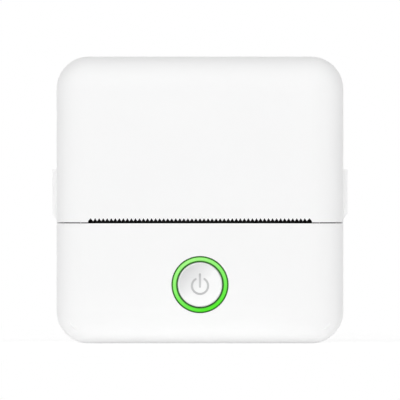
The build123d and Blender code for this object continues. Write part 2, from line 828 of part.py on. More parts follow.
# Mechanism frame: a channel with two side plates; the right one carries the motor and gears
with BuildPart() as mechanism_frame:
    with BuildSketch(across(-plate_inner_x)):
        with Locations((frame_lip_y, frame_floor_z)):
            Rectangle(frame_rear_y - frame_lip_y, frame_floor, align=(Align.MIN, Align.MIN))
            Rectangle(frame_lip, frame_lip_z - frame_floor_z, align=(Align.MIN, Align.MIN))
        with Locations((frame_rear_y, frame_floor_z)):
            Rectangle(frame_rear_wall, roll_z - frame_floor_z - bucket_radius, align=(Align.MAX, Align.MIN))
        with Locations((roll_y, roll_z)):
            Circle(bucket_outer, mode=Mode.SUBTRACT)
    extrude(amount=2 * plate_inner_x)
    plate_head = [
        (plate_front_y, frame_floor_z),
        (plate_front_y, platen_z),
        (platen_y - rubber_radius / 2, plate_top_z),
        (idler_axis[0] - rubber_radius / 2, plate_top_z),
    ]
    left_plate = plate_head + [(frame_rear_y, frame_lip_z), (frame_rear_y, frame_floor_z)]
    motor_plate_back_y = motor_axis[0] + motor_plate_half
    motor_plate_front_y = max(motor_axis[0] - motor_plate_half, board_back_y + usb_height + plate_usb_gap)
    motor_plate_low_z = motor_axis[1] - motor_plate_half
    right_plate = plate_head + [
        (motor_plate_back_y / 2, frame_lip_z + plate_thickness),
        (motor_plate_back_y, frame_floor_z + frame_floor),
        (motor_plate_back_y, motor_plate_low_z),
        (motor_plate_front_y, motor_plate_low_z),
        (motor_plate_front_y, frame_floor_z),
    ]
    for start_x, outline in ((-plate_outer_x, left_plate), (plate_inner_x, right_plate)):
        with BuildSketch(across(start_x)) as plate:
            with BuildLine():
                Polyline(*outline, close=True)
            make_face()
            fillet(plate.vertices(), plate_round)
            with Locations((head_pivot_y, head_pivot_z)):
                Circle(trunnion_radius + trunnion_fit, mode=Mode.SUBTRACT)
        extrude(amount=plate_thickness)
    with BuildSketch(across(-plate_outer_x)):
        SlotArc(bushing_path, 2 * (bushing_radius + slot_fit))
    extrude(amount=2 * plate_outer_x, mode=Mode.SUBTRACT)
    # Holes for the gear posts, the motor's boss and its screws
    with BuildSketch(across(plate_inner_x)):
        with Locations(idler_axis, reduction_axis):
            Circle(post_radius)
        with Locations(motor_axis):
            Circle(motor_boss_radius)
        with Locations(
            (motor_axis[0] - motor_screw_offset, motor_axis[1]),
            (motor_axis[0] + motor_screw_offset, motor_axis[1]),
        ):
            Circle(motor_screw_radius)
    extrude(amount=plate_thickness, mode=Mode.SUBTRACT)
    # Ears that are screwed to the front shell
    with BuildSketch(facing(ear_front_y + ear_thickness)):
        for side in (1, -1):
            with Locations((side * ear_x, frame_floor_z + frame_floor / 2)):
                Rectangle(
                    2 * ear_half,
                    frame_floor_z + frame_floor / 2 - ear_z + ear_half,
                    align=(Align.CENTER, Align.MAX),
                )
        with Locations(*ear_centres):
            Circle(small_screw_radius + screw_passage, mode=Mode.SUBTRACT)
    extrude(amount=ear_thickness)
mechanism_frame.part.label = "mechanism_frame"
export_step(mechanism_frame.part, "parts/mechanism_frame.step")


# Platen: steel shaft, rubber sleeve and gear, which lift out with the lid
with BuildPart() as platen_shaft:
    with BuildSketch(across(shaft_left_x)):
        with Locations(platen_axis):
            Circle(shaft_radius)
    extrude(amount=layer_one_x + gear_layer - shaft_left_x)
platen_shaft.part.label = "platen_shaft"
export_step(platen_shaft.part, "parts/platen_shaft.step")

with BuildPart() as platen_rubber:
    with BuildSketch(across(-rubber_half)):
        with Locations(platen_axis):
            Circle(rubber_radius)
            Circle(shaft_radius, mode=Mode.SUBTRACT)
    extrude(amount=2 * rubber_half)
platen_rubber.part.label = "platen_rubber"
export_step(platen_rubber.part, "parts/platen_rubber.step")

with BuildPart() as platen_gear:
    with BuildSketch(across(layer_one_x)):
        with Locations(platen_axis):
            add(gear_outline(platen_teeth, platen_tooth, shaft_radius))
    extrude(amount=gear_layer)
platen_gear.part.label = "platen_gear"
export_step(platen_gear.part, "parts/platen_gear.step")

# Bushings: pressed in the lid's cheeks, seated in the slots of the frame
with BuildPart() as platen_bushings:
    for side in (1, -1):
        with BuildSketch(across(side * cheek_inner_x)):
            with Locations(platen_axis):
                Circle(bushing_radius)
        extrude(amount=side * (plate_outer_x - cheek_inner_x))
        with BuildSketch(across(side * cheek_inner_x)):
            with Locations(platen_axis):
                Circle(bushing_flange_radius)
        extrude(amount=-side * bushing_flange)
    with BuildSketch(across(-plate_outer_x)):
        with Locations(platen_axis):
            Circle(shaft_radius + bushing_bore_fit)
    extrude(amount=2 * plate_outer_x, mode=Mode.SUBTRACT)
platen_bushings.part.label = "platen_bushings"
export_step(platen_bushings.part, "parts/platen_bushings.step")


# Gear train on the right-hand plate
with BuildPart() as idler_gear:
    with BuildSketch(across(layer_one_x)):
        with Locations(idler_axis):
            add(gear_outline(idler_teeth, idler_tooth, post_radius + post_fit))
    extrude(amount=gear_layer)
idler_gear.part.label = "idler_gear"
export_step(idler_gear.part, "parts/idler_gear.step")

with BuildPart() as reduction_gear:
    with BuildSketch(across(layer_one_x)):
        with Locations(reduction_axis):
            add(gear_outline(small_teeth, small_tooth, post_radius + post_fit))
    extrude(amount=gear_layer + layer_gap)
    with BuildSketch(across(layer_two_x)):
        with Locations(reduction_axis):
            add(gear_outline(large_teeth, large_tooth, post_radius + post_fit))
    extrude(amount=large_layer)
reduction_gear.part.label = "reduction_gear"
export_step(reduction_gear.part, "parts/reduction_gear.step")

# Posts with a spacing collar against the plate and a head outside the gear
with BuildPart() as gear_posts:
    for axis_point, gear_end_x in (
        (idler_axis, layer_one_x + gear_layer),
        (reduction_axis, layer_two_x + large_layer),
    ):
        with BuildSketch(across(plate_inner_x)):
            with Locations(axis_point):
                Circle(post_radius)
        extrude(amount=gear_end_x + post_end_play + post_head - plate_inner_x)
        with BuildSketch(across(plate_outer_x)):
            with Locations(axis_point):
                Circle(post_collar_radius)
        extrude(amount=gear_stand_off - post_end_play)
        with BuildSketch(across(gear_end_x + post_end_play)):
            with Locations(axis_point):
                Circle(post_head_radius)
        extrude(amount=post_head)
gear_posts.part.label = "gear_posts"
export_step(gear_posts.part, "parts/gear_posts.step")


# Motor: can with a boss in the plate, shaft, pinion and two screws
with BuildPart() as motor_can:
    with BuildSketch(across(plate_inner_x - motor_length)):
        with Locations(motor_axis):
            Circle(motor_radius)
    extrude(amount=motor_length)
    with BuildSketch(across(plate_inner_x)):
        with Locations(motor_axis):
            Circle(motor_boss_radius)
    extrude(amount=plate_thickness)
    with BuildSketch(across(plate_outer_x)):
        with Locations(motor_axis):
            Circle(motor_shaft_radius + motor_shaft_fit)
    extrude(amount=-(plate_thickness + motor_shaft_inside + post_end_play), mode=Mode.SUBTRACT)
    with BuildSketch(across(plate_inner_x)):
        with Locations(
            (motor_axis[0] - motor_screw_offset, motor_axis[1]),
            (motor_axis[0] + motor_screw_offset, motor_axis[1]),
        ):
            Circle(motor_screw_radius)
    extrude(amount=-motor_screw_grip, mode=Mode.SUBTRACT)
motor_can.part.label = "motor_can"
export_step(motor_can.part, "parts/motor_can.step")

with BuildPart() as motor_shaft:
    with BuildSketch(across(plate_inner_x - motor_shaft_inside)):
        with Locations(motor_axis):
            Circle(motor_shaft_radius)
    extrude(amount=layer_two_x + large_layer - plate_inner_x + motor_shaft_inside)
motor_shaft.part.label = "motor_shaft"
export_step(motor_shaft.part, "parts/motor_shaft.step")

with BuildPart() as motor_pinion:
    with BuildSketch(across(layer_two_x)):
        with Locations(motor_axis):
            add(gear_outline(pinion_teeth, pinion_tooth, motor_shaft_radius))
    extrude(amount=large_layer)
motor_pinion.part.label = "motor_pinion"
export_step(motor_pinion.part, "parts/motor_pinion.step")

with BuildPart() as motor_screws:
    for side in (1, -1):
        with BuildSketch(across(plate_outer_x)):
            with Locations((motor_axis[0] + side * motor_screw_offset, motor_axis[1])):
                Circle(motor_screw_radius)
        extrude(amount=-(plate_thickness + motor_screw_grip))
        with BuildSketch(across(plate_outer_x)):
            with Locations((motor_axis[0] + side * motor_screw_offset, motor_axis[1])):
                Circle(motor_screw_head)
        extrude(amount=motor_screw_head_height)
motor_screws.part.label = "motor_screws"
export_step(motor_screws.part, "parts/motor_screws.step")


# Print head: heat sink on two trunnions, with the heating substrate on top
with BuildPart() as heat_sink:
    with BuildSketch(across(-plate_inner_x + trunnion_end_gap)):
        with Locations((sink_front_y, sink_bottom_z)):
            Rectangle(sink_back_y - sink_front_y, sink_thickness, align=(Align.MIN, Align.MIN))
    extrude(amount=2 * (plate_inner_x - trunnion_end_gap))
    for side in (1, -1):
        ear_end = side * (plate_inner_x - trunnion_end_gap)
        with BuildSketch(across(ear_end)):
            with Locations((head_pivot_y, head_pivot_z)):
                Circle(head_ear_radius)
            with Locations((head_pivot_y, sink_top_z)):
                Rectangle(2 * (sink_back_y - head_pivot_y), sink_thickness, align=(Align.CENTER, Align.MAX))
            make_hull()
        extrude(amount=-side * head_ear)
        with BuildSketch(across(ear_end)):
            with Locations((head_pivot_y, head_pivot_z)):
                Circle(trunnion_radius)
        extrude(amount=side * plate_thickness)
heat_sink.part.label = "heat_sink"
export_step(heat_sink.part, "parts/heat_sink.step")

with BuildPart() as head_substrate:
    with BuildSketch(across(-substrate_half)):
        with Locations((substrate_front_y, sink_top_z)):
            Rectangle(
                substrate_back_y - substrate_front_y,
                substrate_thickness,
                align=(Align.MIN, Align.MIN),
            )
    extrude(amount=2 * substrate_half)
head_substrate.part.label = "head_substrate"
export_step(head_substrate.part, "parts/head_substrate.step")

# Leaf springs: a flat foot on the frame's floor and a bowed tongue that lifts the heat sink
spring_low_z = frame_floor_z + frame_floor
with BuildPart() as pressure_springs:
    for side in (1, -1):
        with BuildSketch(across(side * spring_x - spring_width / 2)):
            with Locations((platen_y, spring_low_z)):
                Rectangle(2 * spring_foot, spring_strip, align=(Align.CENTER, Align.MIN))
            with BuildLine():
                bow = ThreePointArc(
                    (platen_y + spring_foot, spring_low_z),
                    (platen_y, sink_bottom_z),
                    (platen_y - spring_foot, spring_low_z + 3 * spring_strip),
                )
                inner_bow = ThreePointArc(
                    (platen_y + spring_foot - spring_strip, spring_low_z),
                    (platen_y, sink_bottom_z - spring_strip),
                    (platen_y - spring_foot + spring_strip, spring_low_z + 3 * spring_strip),
                )
                Line(bow @ 0, inner_bow @ 0)
                Line(bow @ 1, inner_bow @ 1)
            make_face()
        extrude(amount=spring_width)
pressure_springs.part.label = "pressure_springs"
export_step(pressure_springs.part, "parts/pressure_springs.step")

# Reflective sensor that looks at the paper behind the head
with BuildPart() as paper_sensor:
    with BuildSketch(facing(frame_rear_y - frame_rear_wall)):
        with Locations((0, sensor_z)):
            Rectangle(sensor_width, sensor_height, align=(Align.CENTER, Align.MIN))
    extrude(amount=sensor_depth)
paper_sensor.part.label = "paper_sensor"
export_step(paper_sensor.part, "parts/paper_sensor.step")


# Power button: dished cap with a retaining flange and a stem
ring_shoulder_y = face_y + ring_shoulder_depth
flange_y = ring_shoulder_y + flange_play
stem_end_y = board_face_y - switch_height - plunger_proud
symbol_arc = CenterArc((0, 0), symbol_radius, 90 + symbol_gap, 360 - 2 * symbol_gap)
with BuildPart() as power_button:
    with BuildSketch(facing(flange_y)):
        with Locations((0, button_z)):
            Circle(button_radius)
    extrude(amount=flange_y - button_face_y)
    chamfer(power_button.faces().sort_by(Axis.Y)[0].edges(), button_chamfer)
    with BuildSketch(facing(flange_y + button_flange)):
        with Locations((0, button_z)):
            Circle(button_flange_radius)
    extrude(amount=button_flange)
    # Hollow behind the dish, with the stem in its middle
    with BuildSketch(facing(flange_y + button_flange)):
        with Locations((0, button_z)):
            Circle(button_radius - button_side_wall)
    extrude(amount=flange_y + button_flange - dish_y - button_skin, mode=Mode.SUBTRACT)
    with BuildSketch(facing(stem_end_y)):
        with Locations((0, button_z)):
            Circle(stem_radius)
    extrude(amount=stem_end_y - dish_y - button_skin / 2)
    # Spherical dish for the fingertip
    with Locations((0, dish_y - dish_radius, button_z)):
        Sphere(dish_radius, mode=Mode.SUBTRACT)
    # Power symbol sunk in the dish
    with BuildSketch(facing(dish_y + symbol_depth)):
        with Locations((0, button_z - symbol_drop)):
            SlotArc(symbol_arc, symbol_stroke)
        with Locations((0, button_z + (symbol_bar_top + symbol_bar_bottom) / 2)):
            SlotOverall(symbol_bar_top - symbol_bar_bottom, symbol_stroke, rotation=90)
    extrude(amount=dish_depth + symbol_depth, mode=Mode.SUBTRACT)
power_button.part.label = "power_button"
export_step(power_button.part, "parts/power_button.step")

# Light ring: rim flush with the face, a flange behind the shell
button_line = Axis((0, 0, button_z), (0, 1, 0))
with BuildPart() as light_ring:
    with BuildSketch(Plane.XY.offset(button_z)) as rim:
        with BuildLine():
            Polyline(
                (ring_inner, face_y),
                (ring_outer, face_y),
                (ring_outer, inner_face_y + ring_seat_gap),
                (ring_flange_radius, inner_face_y + ring_seat_gap),
                (ring_flange_radius, inner_face_y + ring_flange),
                (ring_flange_radius - ring_step, inner_face_y + ring_flange),
                (ring_flange_radius - ring_step, inner_face_y + ring_flange + ring_back),
                (ring_counterbore, inner_face_y + ring_flange + ring_back),
                (ring_counterbore, ring_shoulder_y),
                (ring_inner, ring_shoulder_y),
                close=True,
            )
        make_face()
        for corner in ((ring_inner, face_y), (ring_outer, face_y)):
            chamfer(rim.vertices().sort_by_distance(corner)[0], ring_edge)
    revolve(axis=button_line)
light_ring.part.label = "light_ring"
export_step(light_ring.part, "parts/light_ring.step")

# Tactile switch behind the button
switch_front_y = board_face_y - switch_height
with BuildPart() as switch_body:
    with BuildSketch(facing(board_face_y)):
        with Locations((0, button_z)):
            Rectangle(switch_side, switch_side)
    extrude(amount=switch_height)
    with BuildSketch(facing(switch_front_y + plunger_depth + plunger_bottom_gap)):
        with Locations((0, button_z)):
            Circle(plunger_radius + plunger_fit)
    extrude(amount=switch_height, mode=Mode.SUBTRACT)
switch_body.part.label = "switch_body"
export_step(switch_body.part, "parts/switch_body.step")

with BuildPart() as switch_plunger:
    with BuildSketch(facing(switch_front_y + plunger_depth)):
        with Locations((0, button_z)):
            Circle(plunger_radius)
    extrude(amount=plunger_depth + plunger_proud)
switch_plunger.part.label = "switch_plunger"
export_step(switch_plunger.part, "parts/switch_plunger.step")


# Main board with an ear for the socket
with BuildPart() as main_board:
    with BuildSketch(facing(board_back_y)):
        with Locations((0, (board_low_z + board_top_z) / 2)):
            Rectangle(2 * board_half, board_top_z - board_low_z)
        with Locations((0, (board_ear_low_z + board_ear_top_z) / 2)):
            Rectangle(board_ear_x, board_ear_top_z - board_ear_low_z, align=(Align.MIN, Align.CENTER))
        with Locations(*board_bosses):
            Circle(small_screw_radius + screw_passage, mode=Mode.SUBTRACT)
    extrude(amount=board_thickness)
main_board.part.label = "main_board"
export_step(main_board.part, "parts/main_board.step")

# Processor, head driver and charger on the back of the board
with BuildPart() as control_chips:
    for chip_centre, chip_side in (
        (processor_centre, processor_side),
        (driver_centre, driver_side),
        (charger_centre, charger_side),
    ):
        with BuildSketch(facing(board_back_y + chip_height)):
            with Locations(chip_centre):
                Rectangle(chip_side, chip_side)
        extrude(amount=chip_height)
control_chips.part.label = "control_chips"
export_step(control_chips.part, "parts/control_chips.step")

with BuildPart() as ring_leds:
    with BuildSketch(facing(board_face_y)):
        with Locations((0, button_z)):
            with PolarLocations(led_radius_at, led_count, start_angle=180 / led_count):
                Rectangle(led_size, led_size)
    extrude(amount=led_height)
ring_leds.part.label = "ring_leds"
export_step(ring_leds.part, "parts/ring_leds.step")

# USB-C socket: oval steel shell with a contact tongue inside
with BuildPart() as usb_socket:
    with BuildSketch(across(usb_mouth_x - usb_length)):
        with Locations((usb_y, usb_z)):
            SlotOverall(usb_width, usb_height, rotation=90)
    extrude(amount=usb_length)
    with BuildSketch(across(usb_mouth_x - usb_cavity)):
        with Locations((usb_y, usb_z)):
            SlotOverall(usb_width - 2 * usb_wall, usb_height - 2 * usb_wall, rotation=90)
    extrude(amount=usb_cavity, mode=Mode.SUBTRACT)
    with BuildSketch(across(usb_mouth_x - usb_cavity)):
        with Locations((usb_y, usb_z)):
            Rectangle(usb_tongue_height, usb_tongue_width)
    extrude(amount=usb_cavity - 2 * usb_wall)
usb_socket.part.label = "usb_socket"
export_step(usb_socket.part, "parts/usb_socket.step")


# Battery on a foam pad behind it
with BuildPart() as battery_pack:
    with BuildSketch(facing(battery_back_y)):
        with Locations((0, battery_low_z)):
            Rectangle(battery_width, battery_height, align=(Align.CENTER, Align.MIN))
    extrude(amount=battery_thickness)
    fillet(battery_pack.edges().filter_by(Axis.Z), battery_round)
battery_pack.part.label = "battery_pack"
export_step(battery_pack.part, "parts/battery_pack.step")

with BuildPart() as battery_pad:
    with BuildSketch(facing(inner_back_y)):
        with Locations((0, battery_low_z + battery_height / 2)):
            Rectangle(battery_width - 2 * pad_margin, battery_height - 2 * pad_margin)
    extrude(amount=pad_thickness)
battery_pad.part.label = "battery_pad"
export_step(battery_pad.part, "parts/battery_pad.step")


# Four case screws, two frame screws and four board screws
with BuildPart() as case_screws:
    with BuildSketch(facing(screw_seat_y)):
        with Locations(*pillars):
            Circle(screw_radius)
    extrude(amount=case_screw_length)
    with BuildSketch(facing(screw_seat_y + screw_head_height)):
        with Locations(*pillars):
            Circle(screw_head_radius)
    extrude(amount=screw_head_height)
case_screws.part.label = "case_screws"
export_step(case_screws.part, "parts/case_screws.step")

with BuildPart() as frame_screws:
    with BuildSketch(facing(ear_front_y + ear_thickness)):
        with Locations(*ear_centres):
            Circle(small_screw_radius)
    extrude(amount=ear_front_y + ear_thickness - inner_face_y)
    with BuildSketch(facing(ear_front_y + ear_thickness + small_screw_head_height)):
        with Locations(*ear_centres):
            Circle(small_screw_head)
    extrude(amount=small_screw_head_height)
frame_screws.part.label = "frame_screws"
export_step(frame_screws.part, "parts/frame_screws.step")

with BuildPart() as board_screws:
    with BuildSketch(facing(board_back_y)):
        with Locations(*board_bosses):
            Circle(small_screw_radius)
    extrude(amount=small_screw_length)
    with BuildSketch(facing(board_back_y + small_screw_head_height)):
        with Locations(*board_bosses):
            Circle(small_screw_head)
    extrude(amount=small_screw_head_height)
board_screws.part.label = "board_screws"
export_step(board_screws.part, "parts/board_screws.step")

print("idler axis", idler_axis)
print("reduction axis", reduction_axis)
print("motor axis", motor_axis)
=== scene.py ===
import math

import bmesh
import bpy
from mathutils import Matrix, Vector


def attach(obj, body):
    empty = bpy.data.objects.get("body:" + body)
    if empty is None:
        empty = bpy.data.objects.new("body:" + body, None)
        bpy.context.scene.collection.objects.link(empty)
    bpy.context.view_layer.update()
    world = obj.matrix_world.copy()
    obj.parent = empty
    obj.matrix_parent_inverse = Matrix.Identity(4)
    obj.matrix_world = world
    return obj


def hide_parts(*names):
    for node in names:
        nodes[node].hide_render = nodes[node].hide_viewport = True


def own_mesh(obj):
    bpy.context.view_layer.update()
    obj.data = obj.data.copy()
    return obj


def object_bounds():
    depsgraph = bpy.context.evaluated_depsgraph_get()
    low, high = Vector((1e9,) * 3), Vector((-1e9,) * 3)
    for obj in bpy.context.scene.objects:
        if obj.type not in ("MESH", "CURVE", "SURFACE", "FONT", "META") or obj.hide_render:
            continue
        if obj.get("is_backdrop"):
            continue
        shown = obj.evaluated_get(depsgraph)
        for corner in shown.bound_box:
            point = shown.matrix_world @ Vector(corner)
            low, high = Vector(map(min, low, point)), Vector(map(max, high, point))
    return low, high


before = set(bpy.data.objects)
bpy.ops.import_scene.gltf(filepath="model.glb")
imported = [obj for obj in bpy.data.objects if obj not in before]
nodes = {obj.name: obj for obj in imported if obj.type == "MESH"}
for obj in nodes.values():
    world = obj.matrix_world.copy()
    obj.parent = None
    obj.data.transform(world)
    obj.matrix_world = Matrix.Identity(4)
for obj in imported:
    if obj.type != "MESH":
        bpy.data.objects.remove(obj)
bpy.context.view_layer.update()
print("frame loaded:", len(nodes), "pieces")


# sRGB hex to the linear colour that Blender wants
def hexColour(text):
    channels = [int(text[i:i + 2], 16) / 255 for i in (1, 3, 5)]
    linear = [c / 12.92 if c <= 0.04045 else ((c + 0.055) / 1.055) ** 2.4 for c in channels]
    return (*linear, 1.0)


# the scale of a pattern whose features are sizeMm across, since the object is in metres
def perMetre(sizeMm):
    return 1000.0 / sizeMm


# one node with its settings; an input given as a socket is linked, anything else is set
def addNode(tree, kind, inputs=None, **settings):
    node = tree.nodes.new(kind)
    for name, value in settings.items():
        setattr(node, name, value)
    for name, value in (inputs or {}).items():
        if isinstance(value, bpy.types.NodeSocket):
            tree.links.new(value, node.inputs[name])
        else:
            node.inputs[name].default_value = value
    return node


# an empty node material with its output; the caller links the shader
def startMaterial(name):
    material = bpy.data.materials.new(name)
    material.use_nodes = True
    tree = material.node_tree
    tree.nodes.clear()
    output = addNode(tree, "ShaderNodeOutputMaterial")
    position = addNode(tree, "ShaderNodeTexCoord").outputs["Object"]
    return material, tree, output, position


# a metal whose gloss varies in a fine pattern, drawn out along the way the piece was worked, and
# which stands up as a lay where a depth is given
def metalFrom(name, look):
    material, tree, output, along = startMaterial(name)
    if "stretch" in look:
        drawn = addNode(tree, "ShaderNodeVectorMath", {
            0: along, 1: look["stretch"],
        }, operation="MULTIPLY")
        along = drawn.outputs["Vector"]
    pattern = addNode(tree, "ShaderNodeTexNoise", {
        "Vector": along, "Scale": perMetre(look["patternMm"]), "Detail": look["detail"],
    })
    smear = addNode(tree, "ShaderNodeMapRange", {
        "Value": pattern.outputs["Fac"],
        "To Min": look["roughness"] - look["smoother"],
        "To Max": look["roughness"] + look["rougher"],
    })
    shader = addNode(tree, "ShaderNodeBsdfPrincipled", {
        "Base Color": hexColour(look["colour"]),
        "Metallic": 1.0,
        "Roughness": smear.outputs["Result"],
    })
    if "layDepthMm" in look:
        bump = addNode(tree, "ShaderNodeBump", {
            "Height": pattern.outputs["Fac"],
            "Strength": 0.3,
            "Distance": look["layDepthMm"] / 1000,
        })
        tree.links.new(bump.outputs["Normal"], shader.inputs["Normal"])
    tree.links.new(shader.outputs["BSDF"], output.inputs["Surface"])
    return material


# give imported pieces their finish
def dress(material, *names):
    for name in names:
        mesh = nodes[name].data
        mesh.materials.clear()
        mesh.materials.append(material)


# a new mesh object that rides on a body
def addPiece(name, mesh, material, body):
    piece = bpy.data.objects.new(name, mesh)
    bpy.context.scene.collection.objects.link(piece)
    mesh.materials.append(material)
    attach(piece, body)
    return piece


# the drawn shape as a mesh, with its faces turned outwards
def closeMesh(name, shape):
    bmesh.ops.recalc_face_normals(shape, faces=shape.faces)
    mesh = bpy.data.meshes.new(name)
    shape.to_mesh(mesh)
    shape.free()
    return mesh


def boxInto(shape, low, high):
    made = bmesh.ops.create_cube(shape, size=1.0)["verts"]
    size = [b - a for a, b in zip(low, high)]
    middle = [(a + b) / 2 for a, b in zip(low, high)]
    bmesh.ops.scale(shape, vec=size, verts=made)
    bmesh.ops.translate(shape, vec=middle, verts=made)


# a wall of quads between two closed rows of points
def joinRows(shape, first, second):
    for at in range(len(first)):
        after = (at + 1) % len(first)
        shape.faces.new((first[after], first[at], second[at], second[after]))


# ABS, injection moulded in a spark-eroded mould: satin, its grain too fine to see at arm's length
caseAbs = {
    "colour": "#fafafa",
    "shade": "#f7f7f7",      # where the melt flowed slower
    "flowMm": 24.0,
    "roughness": 0.56,
    "roughnessSpread": 0.04,
    "grainMm": 0.18,
    "grainDepthMm": 0.006,
    # painted shade: near-black on the inside surfaces behind the slot's ends and the parting line,
    # where the gaps fall into shadow
    "gapShadeColour": "#19191a",
    "gapShadeY": (-0.0179, -0.0098),
    "gapShadeZ": (0.03325, 0.03505),
    "cornerAt": (0.031, 0.011, 0.0),    # centre of the case's rounded corners
    "gapShadeReach": 0.0078,             # how far from that centre the painted shade goes
}
whiteAbs, tree, output, position = startMaterial("White ABS, spark-eroded mould")
flow = addNode(tree, "ShaderNodeTexNoise", {
    "Vector": position, "Scale": perMetre(caseAbs["flowMm"]), "Detail": 2.0,
})
tint = addNode(tree, "ShaderNodeMix", {
    "Factor": flow.outputs["Fac"],
    "A": hexColour(caseAbs["colour"]),
    "B": hexColour(caseAbs["shade"]),
}, data_type="RGBA")
grain = addNode(tree, "ShaderNodeTexNoise", {
    "Vector": position, "Scale": perMetre(caseAbs["grainMm"]), "Detail": 3.0, "Roughness": 0.6,
})
satin = addNode(tree, "ShaderNodeMapRange", {
    "Value": grain.outputs["Fac"],
    "To Min": caseAbs["roughness"] - caseAbs["roughnessSpread"],
    "To Max": caseAbs["roughness"] + caseAbs["roughnessSpread"],
})
bump = addNode(tree, "ShaderNodeBump", {
    "Height": grain.outputs["Fac"], "Strength": 0.5, "Distance": caseAbs["grainDepthMm"] / 1000,
})
# distance past the corner's centre, the same on all four corners
pastCorner = addNode(tree, "ShaderNodeVectorMath", {0: position}, operation="ABSOLUTE").outputs[0]
steps = (("SUBTRACT", caseAbs["cornerAt"]), ("MAXIMUM", (0, 0, 0)), ("MULTIPLY", (1, 1, 0)))
for operation, amount in steps:
    pastCorner = addNode(tree, "ShaderNodeVectorMath", {
        0: pastCorner, 1: amount,
    }, operation=operation).outputs[0]
fromCorner = addNode(tree, "ShaderNodeVectorMath", {0: pastCorner}, operation="LENGTH")
gapShadeMask = addNode(tree, "ShaderNodeMath", {
    0: fromCorner.outputs["Value"], 1: caseAbs["gapShadeReach"],
}, operation="LESS_THAN").outputs[0]
place = addNode(tree, "ShaderNodeSeparateXYZ", {"Vector": position})
for axis, (low, high) in (("Y", caseAbs["gapShadeY"]), ("Z", caseAbs["gapShadeZ"])):
    near = addNode(tree, "ShaderNodeMath", {
        0: place.outputs[axis], 1: (low + high) / 2, 2: (high - low) / 2,
    }, operation="COMPARE")
    gapShadeMask = addNode(tree, "ShaderNodeMath", {
        0: gapShadeMask, 1: near.outputs[0],
    }, operation="MULTIPLY").outputs[0]
# painted shade: the inside surfaces behind the slot's ends and the parting line are coloured
# near-black
tint = addNode(tree, "ShaderNodeMix", {
    "Factor": gapShadeMask, "A": tint.outputs["Result"], "B": hexColour(caseAbs["gapShadeColour"]),
}, data_type="RGBA")
shader = addNode(tree, "ShaderNodeBsdfPrincipled", {
    "Base Color": tint.outputs["Result"],
    "Roughness": satin.outputs["Result"],
    "IOR": 1.54,
    "Specular IOR Level": 0.2,
    "Normal": bump.outputs["Normal"],
})
tree.links.new(shader.outputs["BSDF"], output.inputs["Surface"])
dress(whiteAbs, "front_shell", "rear_shell", "paper_lid", "tear_bar")
print("case finished")


# ABS cap, polished mould with a light haze; grey is painted into the sunk power symbol as painted
# shade for its shallow groove
buttonCap = {
    "colour": "#fafafa",
    "shaded": "#d9d9da",        # painted shade on the upper left of the dish, as from light at the upper left; the lower right stays white
    "shadeSpan": (-0.1, 1.0),   # in rim radii from the middle to the upper left
    "symbolShade": "#d5d5d6",
    "skirtGreenShade": "#3b9424",         # painted shade with painted green light: below the rim, in the gap to the light ring, the cap is coloured dark green
    "centreZ": 0.0165,
    "rim": 0.0058,
    "rimY": -0.0194,
    "skirtRadius": 0.00617,
    "dishRadius": 0.015841,     # the dish is part of a ball
    "dishCentreY": -0.034541,
    "shadeBelow": 0.00006,        # the painted shade starts this far below the dish
    "shadeFaceY": -0.01845,       # and nothing behind the face gets it
    "shadeRadius": 0.004,
    "roughness": 0.34,
    "grainMm": 0.12,
    "grainDepthMm": 0.004,
}
capAbs, tree, output, position = startMaterial("Button ABS, haze-polished")
fromDish = addNode(tree, "ShaderNodeVectorMath", {
    0: position, 1: (0.0, buttonCap["dishCentreY"], buttonCap["centreZ"]),
}, operation="DISTANCE")
sunk = addNode(tree, "ShaderNodeMath", {
    0: fromDish.outputs["Value"], 1: buttonCap["dishRadius"] + buttonCap["shadeBelow"],
}, operation="GREATER_THAN")
place = addNode(tree, "ShaderNodeSeparateXYZ", {"Vector": position})
onFace = addNode(tree, "ShaderNodeMath", {
    0: place.outputs["Y"], 1: buttonCap["shadeFaceY"],
}, operation="LESS_THAN")
flat = addNode(tree, "ShaderNodeVectorMath", {
    0: position, 1: (1.0, 0.0, 1.0),
}, operation="MULTIPLY")
fromAxis = addNode(tree, "ShaderNodeVectorMath", {
    0: flat.outputs["Vector"], 1: (0.0, 0.0, buttonCap["centreZ"]),
}, operation="DISTANCE")
nearAxis = addNode(tree, "ShaderNodeMath", {
    0: fromAxis.outputs["Value"], 1: buttonCap["shadeRadius"],
}, operation="LESS_THAN")
# painted shade: grey in the sunk power symbol, in place of the shade of its groove
symbolShadeMask = addNode(tree, "ShaderNodeMath", {
    0: sunk.outputs[0], 1: onFace.outputs[0],
}, operation="MULTIPLY")
symbolShadeMask = addNode(tree, "ShaderNodeMath", {
    0: symbolShadeMask.outputs[0], 1: nearAxis.outputs[0],
}, operation="MULTIPLY")
# painted shade: the dish is coloured darker toward its upper left, as if lit from the upper left
diagonal = 0.7071 / buttonCap["rim"]    # the square root of a half, per rim radius
upperLeft = addNode(tree, "ShaderNodeVectorMath", {
    0: position, 1: (-diagonal, 0.0, diagonal),
}, operation="DOT_PRODUCT")
shading = addNode(tree, "ShaderNodeMapRange", {
    "Value": upperLeft.outputs["Value"],
    "From Min": diagonal * buttonCap["centreZ"] + buttonCap["shadeSpan"][0],
    "From Max": diagonal * buttonCap["centreZ"] + buttonCap["shadeSpan"][1],
})
inRim = addNode(tree, "ShaderNodeMath", {
    0: fromAxis.outputs["Value"], 1: buttonCap["rim"],
}, operation="LESS_THAN")
shading = addNode(tree, "ShaderNodeMath", {
    0: shading.outputs["Result"], 1: inRim.outputs[0],
}, operation="MULTIPLY")
dish = addNode(tree, "ShaderNodeMix", {
    "Factor": shading.outputs[0],
    "A": hexColour(buttonCap["colour"]),
    "B": hexColour(buttonCap["shaded"]),
}, data_type="RGBA")
belowRim = addNode(tree, "ShaderNodeMath", {
    0: place.outputs["Y"], 1: buttonCap["rimY"],
}, operation="GREATER_THAN")
